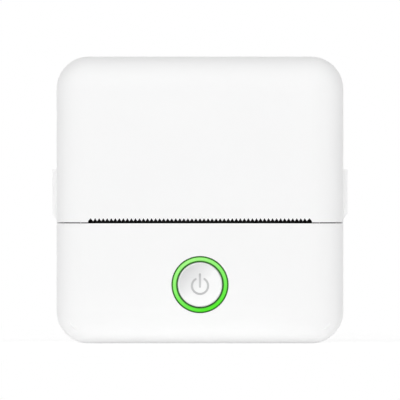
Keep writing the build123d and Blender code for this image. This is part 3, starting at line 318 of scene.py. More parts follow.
outside = addNode(tree, "ShaderNodeMath", {
    0: fromAxis.outputs["Value"], 1: buttonCap["skirtRadius"],
}, operation="GREATER_THAN")
inGap = addNode(tree, "ShaderNodeMath", {
    0: belowRim.outputs[0], 1: outside.outputs[0],
}, operation="MULTIPLY")
# painted shade and green light in the gap below the cap's rim
cap = addNode(tree, "ShaderNodeMix", {
    "Factor": inGap.outputs[0], "A": dish.outputs["Result"], "B": hexColour(buttonCap["skirtGreenShade"]),
}, data_type="RGBA")
tint = addNode(tree, "ShaderNodeMix", {
    "Factor": symbolShadeMask.outputs[0],
    "A": cap.outputs["Result"],
    "B": hexColour(buttonCap["symbolShade"]),
}, data_type="RGBA")
grain = addNode(tree, "ShaderNodeTexNoise", {
    "Vector": position, "Scale": perMetre(buttonCap["grainMm"]), "Detail": 2.0,
})
bump = addNode(tree, "ShaderNodeBump", {
    "Height": grain.outputs["Fac"], "Strength": 0.3, "Distance": buttonCap["grainDepthMm"] / 1000,
})
shader = addNode(tree, "ShaderNodeBsdfPrincipled", {
    "Base Color": tint.outputs["Result"],
    "Roughness": buttonCap["roughness"],
    "IOR": 1.54,
    "Normal": bump.outputs["Normal"],
})
tree.links.new(shader.outputs["BSDF"], output.inputs["Surface"])
dress(capAbs, "power_button")


# acrylic light guide, moulded with a polished face; the LEDs behind it fill it with green
lightGuide = {
    # painted light: the guide is coloured lighter at the top and darker at the bottom, a painted
    # highlight for light from the upper left
    "top": "#9bf37c",
    "bottom": "#46e008",
    # painted shade: dark green on the guide's inner and outer edges and on its parts behind the
    # face
    "edge": "#2f8219",
    "glow": 0.1,
    "roughness": 0.14,
    "innerRadius": 0.00645,
    "outerRadius": 0.00775,
    "edgeWidth": 0.00022,
    "edgeY": -0.0195,       # behind this the guide gets the same painted shade as its edges
    "centreZ": 0.0165,
    "slant": -0.45,         # the painted highlight leans to the upper left, toward the light
}
greenAcrylic, tree, output, position = startMaterial("Green acrylic light guide, polished")
place = addNode(tree, "ShaderNodeSeparateXYZ", {"Vector": position})
upward = addNode(tree, "ShaderNodeMath", {
    0: place.outputs["X"], 1: lightGuide["slant"], 2: place.outputs["Z"],
}, operation="MULTIPLY_ADD")
height = addNode(tree, "ShaderNodeMapRange", {
    "Value": upward.outputs[0],
    "From Min": lightGuide["centreZ"] - lightGuide["outerRadius"],
    "From Max": lightGuide["centreZ"] + lightGuide["outerRadius"],
})
body = addNode(tree, "ShaderNodeMix", {
    "Factor": height.outputs["Result"],
    "A": hexColour(lightGuide["bottom"]),
    "B": hexColour(lightGuide["top"]),
}, data_type="RGBA")
flat = addNode(tree, "ShaderNodeVectorMath", {
    0: position, 1: (1.0, 0.0, 1.0),
}, operation="MULTIPLY")
radius = addNode(tree, "ShaderNodeVectorMath", {
    0: flat.outputs["Vector"], 1: (0.0, 0.0, lightGuide["centreZ"]),
}, operation="DISTANCE")
middle = (lightGuide["innerRadius"] + lightGuide["outerRadius"]) / 2
half = (lightGuide["outerRadius"] - lightGuide["innerRadius"]) / 2
offMiddle = addNode(tree, "ShaderNodeMath", {
    0: radius.outputs["Value"], 1: middle,
}, operation="SUBTRACT")
offMiddle = addNode(tree, "ShaderNodeMath", {0: offMiddle.outputs[0]}, operation="ABSOLUTE")
# the painted edge shade fades in over one edge width
edge = addNode(tree, "ShaderNodeMapRange", {
    "Value": offMiddle.outputs[0],
    "From Min": half - lightGuide["edgeWidth"] * 1.5,
    "From Max": half - lightGuide["edgeWidth"] * 0.5,
})
behind = addNode(tree, "ShaderNodeMath", {
    0: place.outputs["Y"], 1: lightGuide["edgeY"],
}, operation="GREATER_THAN")
dark = addNode(tree, "ShaderNodeMath", {
    0: edge.outputs["Result"], 1: behind.outputs[0],
}, operation="MAXIMUM")
tint = addNode(tree, "ShaderNodeMix", {
    "Factor": dark.outputs[0],
    "A": body.outputs["Result"],
    "B": hexColour(lightGuide["edge"]),
}, data_type="RGBA")
shader = addNode(tree, "ShaderNodeBsdfPrincipled", {
    "Base Color": tint.outputs["Result"],
    "Roughness": lightGuide["roughness"],
    "IOR": 1.49,
    "Specular IOR Level": 0.4,
    "Emission Color": tint.outputs["Result"],
    "Emission Strength": lightGuide["glow"],
})
tree.links.new(shader.outputs["BSDF"], output.inputs["Surface"])
dress(greenAcrylic, "light_ring")
print("button and light ring finished")


# ABS again, black, from a coarser spark-eroded mould because nobody looks at it for long
innerAbs = {
    "colour": "#1a1a1b",
    "worn": "#2a2a2b",      # where paper and fingers rub
    "wearMm": 9.0,
    "wearSpan": (0.52, 0.75),
    "roughness": 0.48,
    "grainMm": 0.22,
    "grainDepthMm": 0.012,
}
blackAbs, tree, output, position = startMaterial("Black ABS, coarse spark-eroded mould")
grain = addNode(tree, "ShaderNodeTexNoise", {
    "Vector": position, "Scale": perMetre(innerAbs["grainMm"]), "Detail": 4.0, "Roughness": 0.65,
})
wear = addNode(tree, "ShaderNodeTexNoise", {
    "Vector": position, "Scale": perMetre(innerAbs["wearMm"]), "Detail": 3.0,
})
rubbed = addNode(tree, "ShaderNodeMapRange", {
    "Value": wear.outputs["Fac"],
    "From Min": innerAbs["wearSpan"][0],
    "From Max": innerAbs["wearSpan"][1],
})
tint = addNode(tree, "ShaderNodeMix", {
    "Factor": rubbed.outputs["Result"],
    "A": hexColour(innerAbs["colour"]),
    "B": hexColour(innerAbs["worn"]),
}, data_type="RGBA")
bump = addNode(tree, "ShaderNodeBump", {
    "Height": grain.outputs["Fac"], "Strength": 0.7, "Distance": innerAbs["grainDepthMm"] / 1000,
})
shader = addNode(tree, "ShaderNodeBsdfPrincipled", {
    "Base Color": tint.outputs["Result"],
    "Roughness": innerAbs["roughness"],
    "IOR": 1.54,
    "Normal": bump.outputs["Normal"],
})
tree.links.new(shader.outputs["BSDF"], output.inputs["Surface"])
dress(blackAbs, "paper_bucket", "mechanism_frame")


# natural acetal, moulded: milky and waxy, a little light goes into it, with patches of grease
gears = {
    "colour": "#ece9dd",
    "grease": "#d9d3bd",
    "greaseMm": 1.6,
    "greaseSpan": (0.45, 0.7),
    "roughness": 0.34,
    "greaseGloss": 0.14,    # how much the film takes off the roughness
}
acetal, tree, output, position = startMaterial("Natural acetal, moulded")
film = addNode(tree, "ShaderNodeTexNoise", {
    "Vector": position, "Scale": perMetre(gears["greaseMm"]), "Detail": 3.0,
})
greased = addNode(tree, "ShaderNodeMapRange", {
    "Value": film.outputs["Fac"],
    "From Min": gears["greaseSpan"][0],
    "From Max": gears["greaseSpan"][1],
})
tint = addNode(tree, "ShaderNodeMix", {
    "Factor": greased.outputs["Result"],
    "A": hexColour(gears["colour"]),
    "B": hexColour(gears["grease"]),
}, data_type="RGBA")
wet = addNode(tree, "ShaderNodeMapRange", {
    "Value": greased.outputs["Result"],
    "To Min": gears["roughness"],
    "To Max": gears["roughness"] - gears["greaseGloss"],
})
shader = addNode(tree, "ShaderNodeBsdfPrincipled", {
    "Base Color": tint.outputs["Result"],
    "Roughness": wet.outputs["Result"],
    "IOR": 1.48,
    "Subsurface Weight": 0.15,
    "Subsurface Scale": 0.001,
})
tree.links.new(shader.outputs["BSDF"], output.inputs["Surface"])
dress(acetal, "platen_gear", "idler_gear", "reduction_gear")


# black acetal, turned: self-lubricating bushings with lathe rings
bushings = {
    "colour": "#141415",
    "roughness": 0.3,
    "ringMm": 0.754,        # real lathe rings are 0.05 mm apart, drawn coarser so that they show
    "ringDepthMm": 0.005,
}
blackAcetal, tree, output, position = startMaterial("Black acetal, turned")
rings = addNode(tree, "ShaderNodeTexWave", {
    "Vector": position,
    "Scale": perMetre(bushings["ringMm"]) * math.pi / 10,    # the node draws 20 radians to the unit
    "Distortion": 0.6,
}, wave_type="RINGS", rings_direction="X")
bump = addNode(tree, "ShaderNodeBump", {
    "Height": rings.outputs["Fac"], "Strength": 0.3, "Distance": bushings["ringDepthMm"] / 1000,
})
shader = addNode(tree, "ShaderNodeBsdfPrincipled", {
    "Base Color": hexColour(bushings["colour"]),
    "Roughness": bushings["roughness"],
    "IOR": 1.48,
    "Normal": bump.outputs["Normal"],
})
tree.links.new(shader.outputs["BSDF"], output.inputs["Surface"])
dress(blackAcetal, "platen_bushings")


# silicone rubber, moulded on the shaft and ground true: matt, with paper dust in patches
roller = {
    "colour": "#1f1f20",
    "dust": "#272728",
    "dustMm": 3.0,
    "dustSpan": (0.5, 0.72),
    "roughness": 0.7,
    "grindMm": 0.1,
    "grindDepthMm": 0.01,
    "stretch": (1.0, 0.25, 0.25),    # the wheel's marks run round the roller
}
silicone, tree, output, position = startMaterial("Black silicone rubber, ground")
drawn = addNode(tree, "ShaderNodeVectorMath", {
    0: position, 1: roller["stretch"],
}, operation="MULTIPLY")
scratch = addNode(tree, "ShaderNodeTexNoise", {
    "Vector": drawn.outputs["Vector"], "Scale": perMetre(roller["grindMm"]), "Detail": 3.0,
})
dust = addNode(tree, "ShaderNodeTexNoise", {
    "Vector": position, "Scale": perMetre(roller["dustMm"]), "Detail": 5.0,
})
dusty = addNode(tree, "ShaderNodeMapRange", {
    "Value": dust.outputs["Fac"],
    "From Min": roller["dustSpan"][0],
    "From Max": roller["dustSpan"][1],
})
tint = addNode(tree, "ShaderNodeMix", {
    "Factor": dusty.outputs["Result"],
    "A": hexColour(roller["colour"]),
    "B": hexColour(roller["dust"]),
}, data_type="RGBA")
bump = addNode(tree, "ShaderNodeBump", {
    "Height": scratch.outputs["Fac"], "Strength": 0.5, "Distance": roller["grindDepthMm"] / 1000,
})
shader = addNode(tree, "ShaderNodeBsdfPrincipled", {
    "Base Color": tint.outputs["Result"],
    "Roughness": roller["roughness"],
    "IOR": 1.41,
    "Specular IOR Level": 0.2,
    "Normal": bump.outputs["Normal"],
})
tree.links.new(shader.outputs["BSDF"], output.inputs["Surface"])
dress(silicone, "platen_rubber")


# bright steel rod, centreless ground: a fine lay that runs round the rod
rods = {
    "colour": "#c9c8c4",
    "roughness": 0.2, "smoother": 0.06, "rougher": 0.1,
    "patternMm": 0.06, "detail": 2.0, "layDepthMm": 0.003,
    "stretch": (1.0, 0.06, 0.06),
}
groundSteel = metalFrom("Bright steel, centreless ground", rods)
dress(groundSteel, "hinge_pin", "platen_shaft", "gear_posts", "motor_shaft")


# steel can, drawn and zinc plated: soft grey with small crystals in the plating
motor = {
    "colour": "#b9bcbd",
    "crystal": "#a9adaf",
    "crystalMm": 0.9,       # much coarser than real plating, so that they show
    "roughness": 0.34, "smoother": 0.05, "rougher": 0.08,
}
zincSteel, tree, output, position = startMaterial("Zinc-plated steel, deep drawn")
crystals = addNode(tree, "ShaderNodeTexVoronoi", {
    "Vector": position, "Scale": perMetre(motor["crystalMm"]),
})
tint = addNode(tree, "ShaderNodeMix", {
    "Factor": crystals.outputs["Distance"],
    "A": hexColour(motor["colour"]),
    "B": hexColour(motor["crystal"]),
}, data_type="RGBA")
smear = addNode(tree, "ShaderNodeMapRange", {
    "Value": crystals.outputs["Distance"],
    "To Min": motor["roughness"] - motor["smoother"],
    "To Max": motor["roughness"] + motor["rougher"],
})
shader = addNode(tree, "ShaderNodeBsdfPrincipled", {
    "Base Color": tint.outputs["Result"],
    "Metallic": 1.0,
    "Roughness": smear.outputs["Result"],
})
tree.links.new(shader.outputs["BSDF"], output.inputs["Surface"])
dress(zincSteel, "motor_can")


# screws, cold headed and plated black: dark and half-bright, duller in patches
screws = {
    "colour": "#5c5c60",
    "roughness": 0.34, "smoother": 0.1, "rougher": 0.1,
    "patternMm": 0.5, "detail": 3.0,
}
blackSteel = metalFrom("Black-plated steel, cold headed", screws)
dress(blackSteel, "motor_screws", "case_screws", "frame_screws", "board_screws")


# spring steel strip, cold rolled: straight rolling lines and a straw tint
springs = {
    "colour": "#bdb6a3",
    "roughness": 0.28, "smoother": 0.08, "rougher": 0.1,
    "patternMm": 0.08, "detail": 2.0,
    "stretch": (1.0, 0.03, 1.0),
}
springSteel = metalFrom("Spring steel strip, cold rolled", springs)
dress(springSteel, "pressure_springs")


# brass, hobbed: bright yellow flanks with the hob's fine marks
pinion = {
    "colour": "#d8b169",
    "roughness": 0.22, "smoother": 0.06, "rougher": 0.1,
    "patternMm": 0.1, "detail": 2.0,
}
brass = metalFrom("Brass, hobbed", pinion)
dress(brass, "motor_pinion")


# aluminium plate, stamped from rolled sheet: long straight rolling lines across the width
sink = {
    "colour": "#d4d5d6",
    "roughness": 0.3, "smoother": 0.08, "rougher": 0.12,
    "patternMm": 0.15, "detail": 2.0, "layDepthMm": 0.004,
    "stretch": (0.02, 1.0, 1.0),
}
rolledAluminium = metalFrom("Aluminium plate, rolled and stamped", sink)
dress(rolledAluminium, "heat_sink")


# alumina, glazed and printed: a glassy cream plate with a dark line of heaters between gold tracks
head = {
    "ceramic": "#e9e4d6",
    "heater": "#3b2f2a",
    "heaterY": -0.0106,     # under the platen's axis
    "heaterReach": 0.0004,  # to each side, wider than the real line so that it shows
    "track": "#c9a45a",
    "trackMm": 0.5,         # four times coarser than the real 0.125 mm, so that they show
    "trackShare": 0.5,      # of the pitch
    "trackReach": 0.0016,
    "roughness": 0.12,
    "overcoat": "#121213",  # dull black resin over the driver chips, along the front edge
    "overcoatTo": -0.0126,
    "overcoatRoughness": 0.72,
}
alumina, tree, output, position = startMaterial("Alumina, glazed")
place = addNode(tree, "ShaderNodeSeparateXYZ", {"Vector": position})
fromLine = addNode(tree, "ShaderNodeMath", {
    0: place.outputs["Y"], 1: head["heaterY"],
}, operation="SUBTRACT")
fromLine = addNode(tree, "ShaderNodeMath", {
    0: fromLine.outputs[0],
}, operation="ABSOLUTE").outputs[0]
onHeater = addNode(tree, "ShaderNodeMath", {
    0: fromLine, 1: head["heaterReach"],
}, operation="LESS_THAN")
nearLine = addNode(tree, "ShaderNodeMath", {
    0: fromLine, 1: head["trackReach"],
}, operation="LESS_THAN")
comb = addNode(tree, "ShaderNodeMath", {
    0: place.outputs["X"], 1: perMetre(head["trackMm"]),
}, operation="MULTIPLY")
comb = addNode(tree, "ShaderNodeMath", {0: comb.outputs[0]}, operation="FRACT")
comb = addNode(tree, "ShaderNodeMath", {
    0: comb.outputs[0], 1: head["trackShare"],
}, operation="LESS_THAN")
tracks = addNode(tree, "ShaderNodeMath", {
    0: comb.outputs[0], 1: nearLine.outputs[0],
}, operation="MULTIPLY")
coated = addNode(tree, "ShaderNodeMath", {
    0: place.outputs["Y"], 1: head["overcoatTo"],
}, operation="LESS_THAN")
tint = hexColour(head["ceramic"])
for mask, colour in ((tracks, "track"), (onHeater, "heater"), (coated, "overcoat")):
    tint = addNode(tree, "ShaderNodeMix", {
        "Factor": mask.outputs[0], "A": tint, "B": hexColour(head[colour]),
    }, data_type="RGBA").outputs["Result"]
gloss = addNode(tree, "ShaderNodeMapRange", {
    "Value": coated.outputs[0], "To Min": head["roughness"], "To Max": head["overcoatRoughness"],
})
shader = addNode(tree, "ShaderNodeBsdfPrincipled", {
    "Base Color": tint,
    "Roughness": gloss.outputs["Result"],
    "IOR": 1.6,
})
tree.links.new(shader.outputs["BSDF"], output.inputs["Surface"])
dress(alumina, "head_substrate")


# epoxy chip packages, transfer moulded: charcoal, dry, faintly granular
chips = {"colour": "#202022", "roughness": 0.56, "grainMm": 0.07, "grainDepthMm": 0.006}
epoxy, tree, output, position = startMaterial("Black epoxy, transfer moulded")
grain = addNode(tree, "ShaderNodeTexNoise", {
    "Vector": position, "Scale": perMetre(chips["grainMm"]), "Detail": 2.0,
})
bump = addNode(tree, "ShaderNodeBump", {
    "Height": grain.outputs["Fac"], "Strength": 0.4, "Distance": chips["grainDepthMm"] / 1000,
})
shader = addNode(tree, "ShaderNodeBsdfPrincipled", {
    "Base Color": hexColour(chips["colour"]),
    "Roughness": chips["roughness"],
    "IOR": 1.55,
    "Normal": bump.outputs["Normal"],
})
tree.links.new(shader.outputs["BSDF"], output.inputs["Surface"])
dress(epoxy, "paper_sensor", "switch_body", "switch_plunger", "control_chips")


# glass-fibre laminate under green solder mask, etched: copper tracks lift the lacquer a little
board = {
    "mask": "#0d5b31",
    "overCopper": "#157542",
    "copperDepthMm": 0.03,
    "trackMm": 0.9,         # wider than most real tracks, so that they show
    "roughness": 0.3,
}
solderMask, tree, output, position = startMaterial("Glass-fibre laminate, green solder mask")
cells = addNode(tree, "ShaderNodeTexBrick", {
    "Vector": position,
    "Color1": (1.0, 1.0, 1.0, 1.0),
    "Color2": (0.0, 0.0, 0.0, 1.0),
    "Mortar": (0.5, 0.5, 0.5, 1.0),
    "Scale": perMetre(board["trackMm"]) / 4,    # the node's rows are a quarter of a unit high
})
copper = addNode(tree, "ShaderNodeSeparateColor", {"Color": cells.outputs["Color"]}).outputs["Red"]
tint = addNode(tree, "ShaderNodeMix", {
    "Factor": copper,
    "A": hexColour(board["mask"]),
    "B": hexColour(board["overCopper"]),
}, data_type="RGBA")
bump = addNode(tree, "ShaderNodeBump", {
    "Height": copper, "Strength": 0.5, "Distance": board["copperDepthMm"] / 1000,
})
shader = addNode(tree, "ShaderNodeBsdfPrincipled", {
    "Base Color": tint.outputs["Result"],
    "Roughness": board["roughness"],
    "IOR": 1.55,
    "Coat Weight": 0.3,
    "Coat Roughness": 0.15,
    "Normal": bump.outputs["Normal"],
})
tree.links.new(shader.outputs["BSDF"], output.inputs["Surface"])
dress(solderMask, "main_board")


# LED packages, cast in clear resin that shines green
leds = {
    "colour": "#d9f5c8",
    "glow": "#8cff5a",
    "strength": (0.6, 1.0),
    "hazeMm": 0.8,
    "roughness": 0.1,
}
clearResin, tree, output, position = startMaterial("Clear LED resin, cast")
haze = addNode(tree, "ShaderNodeTexNoise", {"Vector": position, "Scale": perMetre(leds["hazeMm"])})
glow = addNode(tree, "ShaderNodeMapRange", {
    "Value": haze.outputs["Fac"], "To Min": leds["strength"][0], "To Max": leds["strength"][1],
})
shader = addNode(tree, "ShaderNodeBsdfPrincipled", {
    "Base Color": hexColour(leds["colour"]),
    "Roughness": leds["roughness"],
    "IOR": 1.53,
    "Emission Color": hexColour(leds["glow"]),
    "Emission Strength": glow.outputs["Result"],
})
tree.links.new(shader.outputs["BSDF"], output.inputs["Surface"])
dress(clearResin, "ring_leds")


# lithium cell pouch, aluminium laminate foil: pressed dull silver with soft creases
cell = {"colour": "#b7babd", "roughness": 0.36, "creaseMm": 7.0, "creaseDepthMm": 0.4}
pouchFoil, tree, output, position = startMaterial("Pouch foil, aluminium laminate")
crease = addNode(tree, "ShaderNodeTexNoise", {
    "Vector": position, "Scale": perMetre(cell["creaseMm"]), "Detail": 4.0, "Distortion": 0.8,
})
bump = addNode(tree, "ShaderNodeBump", {
    "Height": crease.outputs["Fac"], "Strength": 0.5, "Distance": cell["creaseDepthMm"] / 1000,
})
shader = addNode(tree, "ShaderNodeBsdfPrincipled", {
    "Base Color": hexColour(cell["colour"]),
    "Metallic": 0.85,
    "Roughness": cell["roughness"],
    "Normal": bump.outputs["Normal"],
})
tree.links.new(shader.outputs["BSDF"], output.inputs["Surface"])
dress(pouchFoil, "battery_pack")


# polyurethane foam tape, die cut: open cells show as pinholes
foamTape = {"colour": "#26262a", "roughness": 0.9, "cellMm": 0.35, "cellDepthMm": 0.1}
foam, tree, output, position = startMaterial("Polyurethane foam tape, die cut")
cells = addNode(tree, "ShaderNodeTexVoronoi", {
    "Vector": position, "Scale": perMetre(foamTape["cellMm"]),
})
bump = addNode(tree, "ShaderNodeBump", {
    "Height": cells.outputs["Distance"],
    "Strength": 0.8,
    "Distance": foamTape["cellDepthMm"] / 1000,
})
shader = addNode(tree, "ShaderNodeBsdfPrincipled", {
    "Base Color": hexColour(foamTape["colour"]),
    "Roughness": foamTape["roughness"],
    "IOR": 1.45,
    "Normal": bump.outputs["Normal"],
})
tree.links.new(shader.outputs["BSDF"], output.inputs["Surface"])
dress(foam, "battery_pad")


# steel socket shell, stamped and nickel plated: warm grey, nearly bright
socket = {
    "colour": "#c8c6c0",
    "roughness": 0.24, "smoother": 0.06, "rougher": 0.06,
    "patternMm": 0.7, "detail": 3.0,
}
nickelSteel = metalFrom("Nickel-plated steel, stamped", socket)
dress(nickelSteel, "usb_socket")
print("inner pieces finished")


# the tear bar again, its teeth thinner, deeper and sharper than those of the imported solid
tearBar = {
    "halfWidth": 0.0311,
    "pitch": 0.00112,
    "teeth": 54,
    "tipZ": 0.03411,
    "notchZ": 0.03494,
    "shoulderZ": 0.03508,
    "flange": 0.0026,
    "frontY": -0.020,
    "bladeY": -0.01945,
    "flangeY": -0.019,
    "backY": -0.018,
}
halfWidth, tipZ = tearBar["halfWidth"], tearBar["tipZ"]
notchZ, shoulderZ = tearBar["notchZ"], tearBar["shoulderZ"]
firstTip = -(tearBar["teeth"] - 1) / 2 * tearBar["pitch"]
outline = [(-halfWidth, shoulderZ), (-halfWidth, tipZ), ((firstTip - halfWidth) / 2, notchZ)]
for tooth in range(tearBar["teeth"]):
    tipX = firstTip + tooth * tearBar["pitch"]
    outline += [(tipX, tipZ), (tipX + tearBar["pitch"] / 2, notchZ)]
outline[-1] = ((halfWidth - firstTip) / 2, notchZ)    # the last notch is wider, as the first one is
outline += [(halfWidth, tipZ), (halfWidth, shoulderZ)]
shape = bmesh.new()
front = [shape.verts.new((x, tearBar["frontY"], z)) for x, z in outline]
back = [shape.verts.new((x, tearBar["bladeY"], z)) for x, z in outline]
shape.faces.new(front)
shape.faces.new(list(reversed(back)))
joinRows(shape, front, back)
boxInto(shape, (-halfWidth, tearBar["bladeY"], notchZ), (halfWidth, tearBar["backY"], shoulderZ))
boxInto(shape, (-halfWidth, tearBar["flangeY"], shoulderZ),
        (halfWidth, tearBar["backY"], shoulderZ + tearBar["flange"]))
blade = addPiece("serrated_bar", closeMesh("serrated_bar", shape), whiteAbs, "lid")
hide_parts("tear_bar")
print("tear bar cut")


# the leaf springs as a piece of their own on the printer, from a copy of the imported mesh
springMesh = nodes["pressure_springs"].data.copy()
springMesh.materials.clear()
leaf = addPiece("leaf_springs", springMesh, springSteel, "printer")
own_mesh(leaf)
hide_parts("pressure_springs")
print("leaf springs set")


# pan-head screws with a cross recess, along Y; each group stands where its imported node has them,
# with places given as x and z
screwKinds = {
    "case": {
        "node": "case_screws", "shank": 0.001, "head": 0.0019, "height": 0.0013, "length": 0.009,
        "seatY": 0.013,
        "places": ((0.0335, 0.0065), (-0.0335, 0.0065), (0.0343, 0.062), (-0.0343, 0.062)),
    },
    "frame": {
        "node": "frame_screws", "shank": 0.0009, "head": 0.0017, "height": 0.0011, "length": 0.0035,
        "seatY": -0.0145,
        "places": ((0.027, 0.022), (-0.027, 0.022)),
    },
    "board": {
        "node": "board_screws", "shank": 0.0009, "head": 0.0017, "height": 0.0011, "length": 0.005,
        "seatY": -0.0103,
        "places": ((0.0269, 0.0065), (-0.0269, 0.0065), (0.015, 0.0218), (-0.015, 0.0218)),
    },
}
panHead = {
    # shares of the head's height and radius and of the shank's radius
    "rounding": 0.45, "flare": 1.2, "crown": 0.5, "point": 0.6,
    # the cross recess, in shares of the head's radius and height
    "reach": 0.62, "width": 0.17, "depth": 0.62, "taper": 0.6,
    "firstTurn": 0.3, "nextTurn": 0.7,    # radians, so that no two crosses line up
    "arcSteps": 5, "turnSteps": 40,
}


def screwMesh(name, kind):
    shank, radius, height = kind["shank"], kind["head"], kind["height"]
    rounding = height * panHead["rounding"]
    profile = [(0.0, -kind["length"]), (shank * panHead["point"], -kind["length"]),
               (shank, -kind["length"] + shank * panHead["point"]), (shank, 0.0), (radius, 0.0),
               (radius, height - rounding)]
    for step in range(1, panHead["arcSteps"]):
        angle = step / panHead["arcSteps"] * math.pi / 2
        profile.append((radius - rounding * (1 - math.cos(angle)) * panHead["flare"],
                        height - rounding + rounding * math.sin(angle)))
    profile += [(radius * panHead["crown"], height), (0.0, height)]
    turned = bmesh.new()
    line = [turned.verts.new((r, t, 0.0)) for r, t in profile]
    edges = [turned.edges.new(pair) for pair in zip(line, line[1:])]
    bmesh.ops.spin(turned, geom=line + edges, cent=(0, 0, 0), axis=(0, 1, 0), angle=math.tau,
                   steps=panHead["turnSteps"], use_merge=True)
    bmesh.ops.remove_doubles(turned, verts=turned.verts, dist=1e-7)
    whole = bpy.data.objects.new(name + "_blank", closeMesh(name + "_blank", turned))

    reach, arm, taper = radius * panHead["reach"], radius * panHead["width"], panHead["taper"]
    plus = [(reach, -arm), (reach, arm), (arm, arm), (arm, reach), (-arm, reach), (-arm, arm),
            (-reach, arm), (-reach, -arm), (-arm, -arm), (-arm, -reach), (arm, -reach), (arm, -arm)]
    floorY = height * (1 - panHead["depth"])
    cutter = bmesh.new()
    mouth = [cutter.verts.new((x, height * 1.2, z)) for x, z in plus]    # clear of the head's top
    bottom = [cutter.verts.new((x * taper, floorY, z * taper)) for x, z in plus]
    cutter.faces.new(mouth)
    cutter.faces.new(list(reversed(bottom)))
    joinRows(cutter, mouth, bottom)
    cross = bpy.data.objects.new(name + "_cross", closeMesh(name + "_cross", cutter))

    for item in (whole, cross):
        bpy.context.scene.collection.objects.link(item)
    cut = whole.modifiers.new("cross", "BOOLEAN")
    cut.operation = "DIFFERENCE"
    cut.object = cross
    cut.solver = "EXACT"
    evaluated = whole.evaluated_get(bpy.context.evaluated_depsgraph_get())
    cutHead = bpy.data.meshes.new_from_object(evaluated)
    for item in (whole, cross):
        bpy.data.objects.remove(item, do_unlink=True)
    return cutHead


for name, kind in screwKinds.items():
    single = screwMesh(name + "_screw", kind)
    group = bmesh.new()
    for number, (x, z) in enumerate(kind["places"]):
        before = len(group.verts)
        group.from_mesh(single)
        fresh = list(group.verts)[before:]
        turn = Matrix.Rotation(panHead["nextTurn"] * number + panHead["firstTurn"], 3, "Y")
        bmesh.ops.rotate(group, cent=(0, 0, 0), matrix=turn, verts=fresh)
        bmesh.ops.translate(group, vec=(x, kind["seatY"], z), verts=fresh)
    setName = name + "_screw_set"
    screwSet = addPiece(setName, closeMesh(setName, group), blackSteel, "printer")
    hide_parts(kind["node"])
print("screws made")


# the socket stands upright on the board: a drawn oval shell with a rolled mouth, and a black tongue
# with a row of gilt contacts on each side
usb = {
    "y": -0.00867,
    "z": 0.01425,
    "mouthX": 0.0389,
    "backX": 0.03155,
    "innerX": 0.0327,           # floor of the cavity
    "width": 0.00894,
    "height": 0.00326,
    "wall": 0.00035,
    "roll": 0.00012,
    "tongueX": 0.0382,
    "tongueWidth": 0.0067,
    "tongueHeight": 0.0007,
    "tongueRoot": 0.0002,       # sunk into the cavity's floor
    "tongueEdge": 0.00012,
    "contacts": 12,
    "contactPitch": 0.0005,
    "contactHalf": 0.00013,
    "contactProud": 0.00003,
    "contactShort": 0.0003,     # they end before the tongue does
}


def oval(shape, grow, x, steps=12):
    halfRound = usb["height"] / 2 + grow
    straight = (usb["width"] - usb["height"]) / 2
    row = []
    for side in (1, -1):
        for step in range(steps + 1):
            angle = math.pi * step / steps
            along = side * (straight + math.sin(angle) * halfRound)
            across = side * math.cos(angle) * halfRound
            row.append(shape.verts.new((x, usb["y"] + across, usb["z"] + along)))
    return row


shape = bmesh.new()
rings = [
    oval(shape, -usb["wall"], usb["innerX"]),
    oval(shape, -usb["wall"], usb["mouthX"] - usb["roll"]),
    oval(shape, -usb["wall"] + usb["roll"], usb["mouthX"]),
    oval(shape, -usb["roll"], usb["mouthX"]),
    oval(shape, 0.0, usb["mouthX"] - usb["roll"]),
    oval(shape, 0.0, usb["backX"]),
]
for inner, outer in zip(rings, rings[1:]):
    joinRows(shape, inner, outer)
shape.faces.new(rings[0])
shape.faces.new(rings[-1])
shell = addPiece("socket_shell", closeMesh("socket_shell", shape), nickelSteel, "printer")
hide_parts("usb_socket")

halfHeight, halfWidth = usb["tongueHeight"] / 2, usb["tongueWidth"] / 2
rootX = usb["innerX"] - usb["tongueRoot"]
shape = bmesh.new()
boxInto(shape, (rootX, usb["y"] - halfHeight, usb["z"] - halfWidth),
        (usb["tongueX"], usb["y"] + halfHeight, usb["z"] + halfWidth))
bmesh.ops.bevel(shape, geom=shape.edges[:], offset=usb["tongueEdge"], segments=2, affect="EDGES")
addPiece("socket_tongue", closeMesh("socket_tongue", shape), epoxy, "printer")

# gold over nickel, on stamped contacts: yellow and bright, duller where a plug has rubbed
contacts = {
    "colour": "#e2b864",
    "roughness": 0.2, "smoother": 0.05, "rougher": 0.08,
    "patternMm": 0.3, "detail": 2.0,
}
giltContacts = metalFrom("Gold-plated contacts, stamped", contacts)
shape = bmesh.new()
for face in (1, -1):
    under = usb["y"] + face * halfHeight
    lowY, highY = sorted((under, under + face * usb["contactProud"]))
    for number in range(usb["contacts"]):
        middleZ = usb["z"] + (number - (usb["contacts"] - 1) / 2) * usb["contactPitch"]
        boxInto(shape, (usb["innerX"], lowY, middleZ - usb["contactHalf"]),
                (usb["tongueX"] - usb["contactShort"], highY, middleZ + usb["contactHalf"]))
addPiece("socket_contacts", closeMesh("socket_contacts", shape), giltContacts, "printer")
print("socket made")


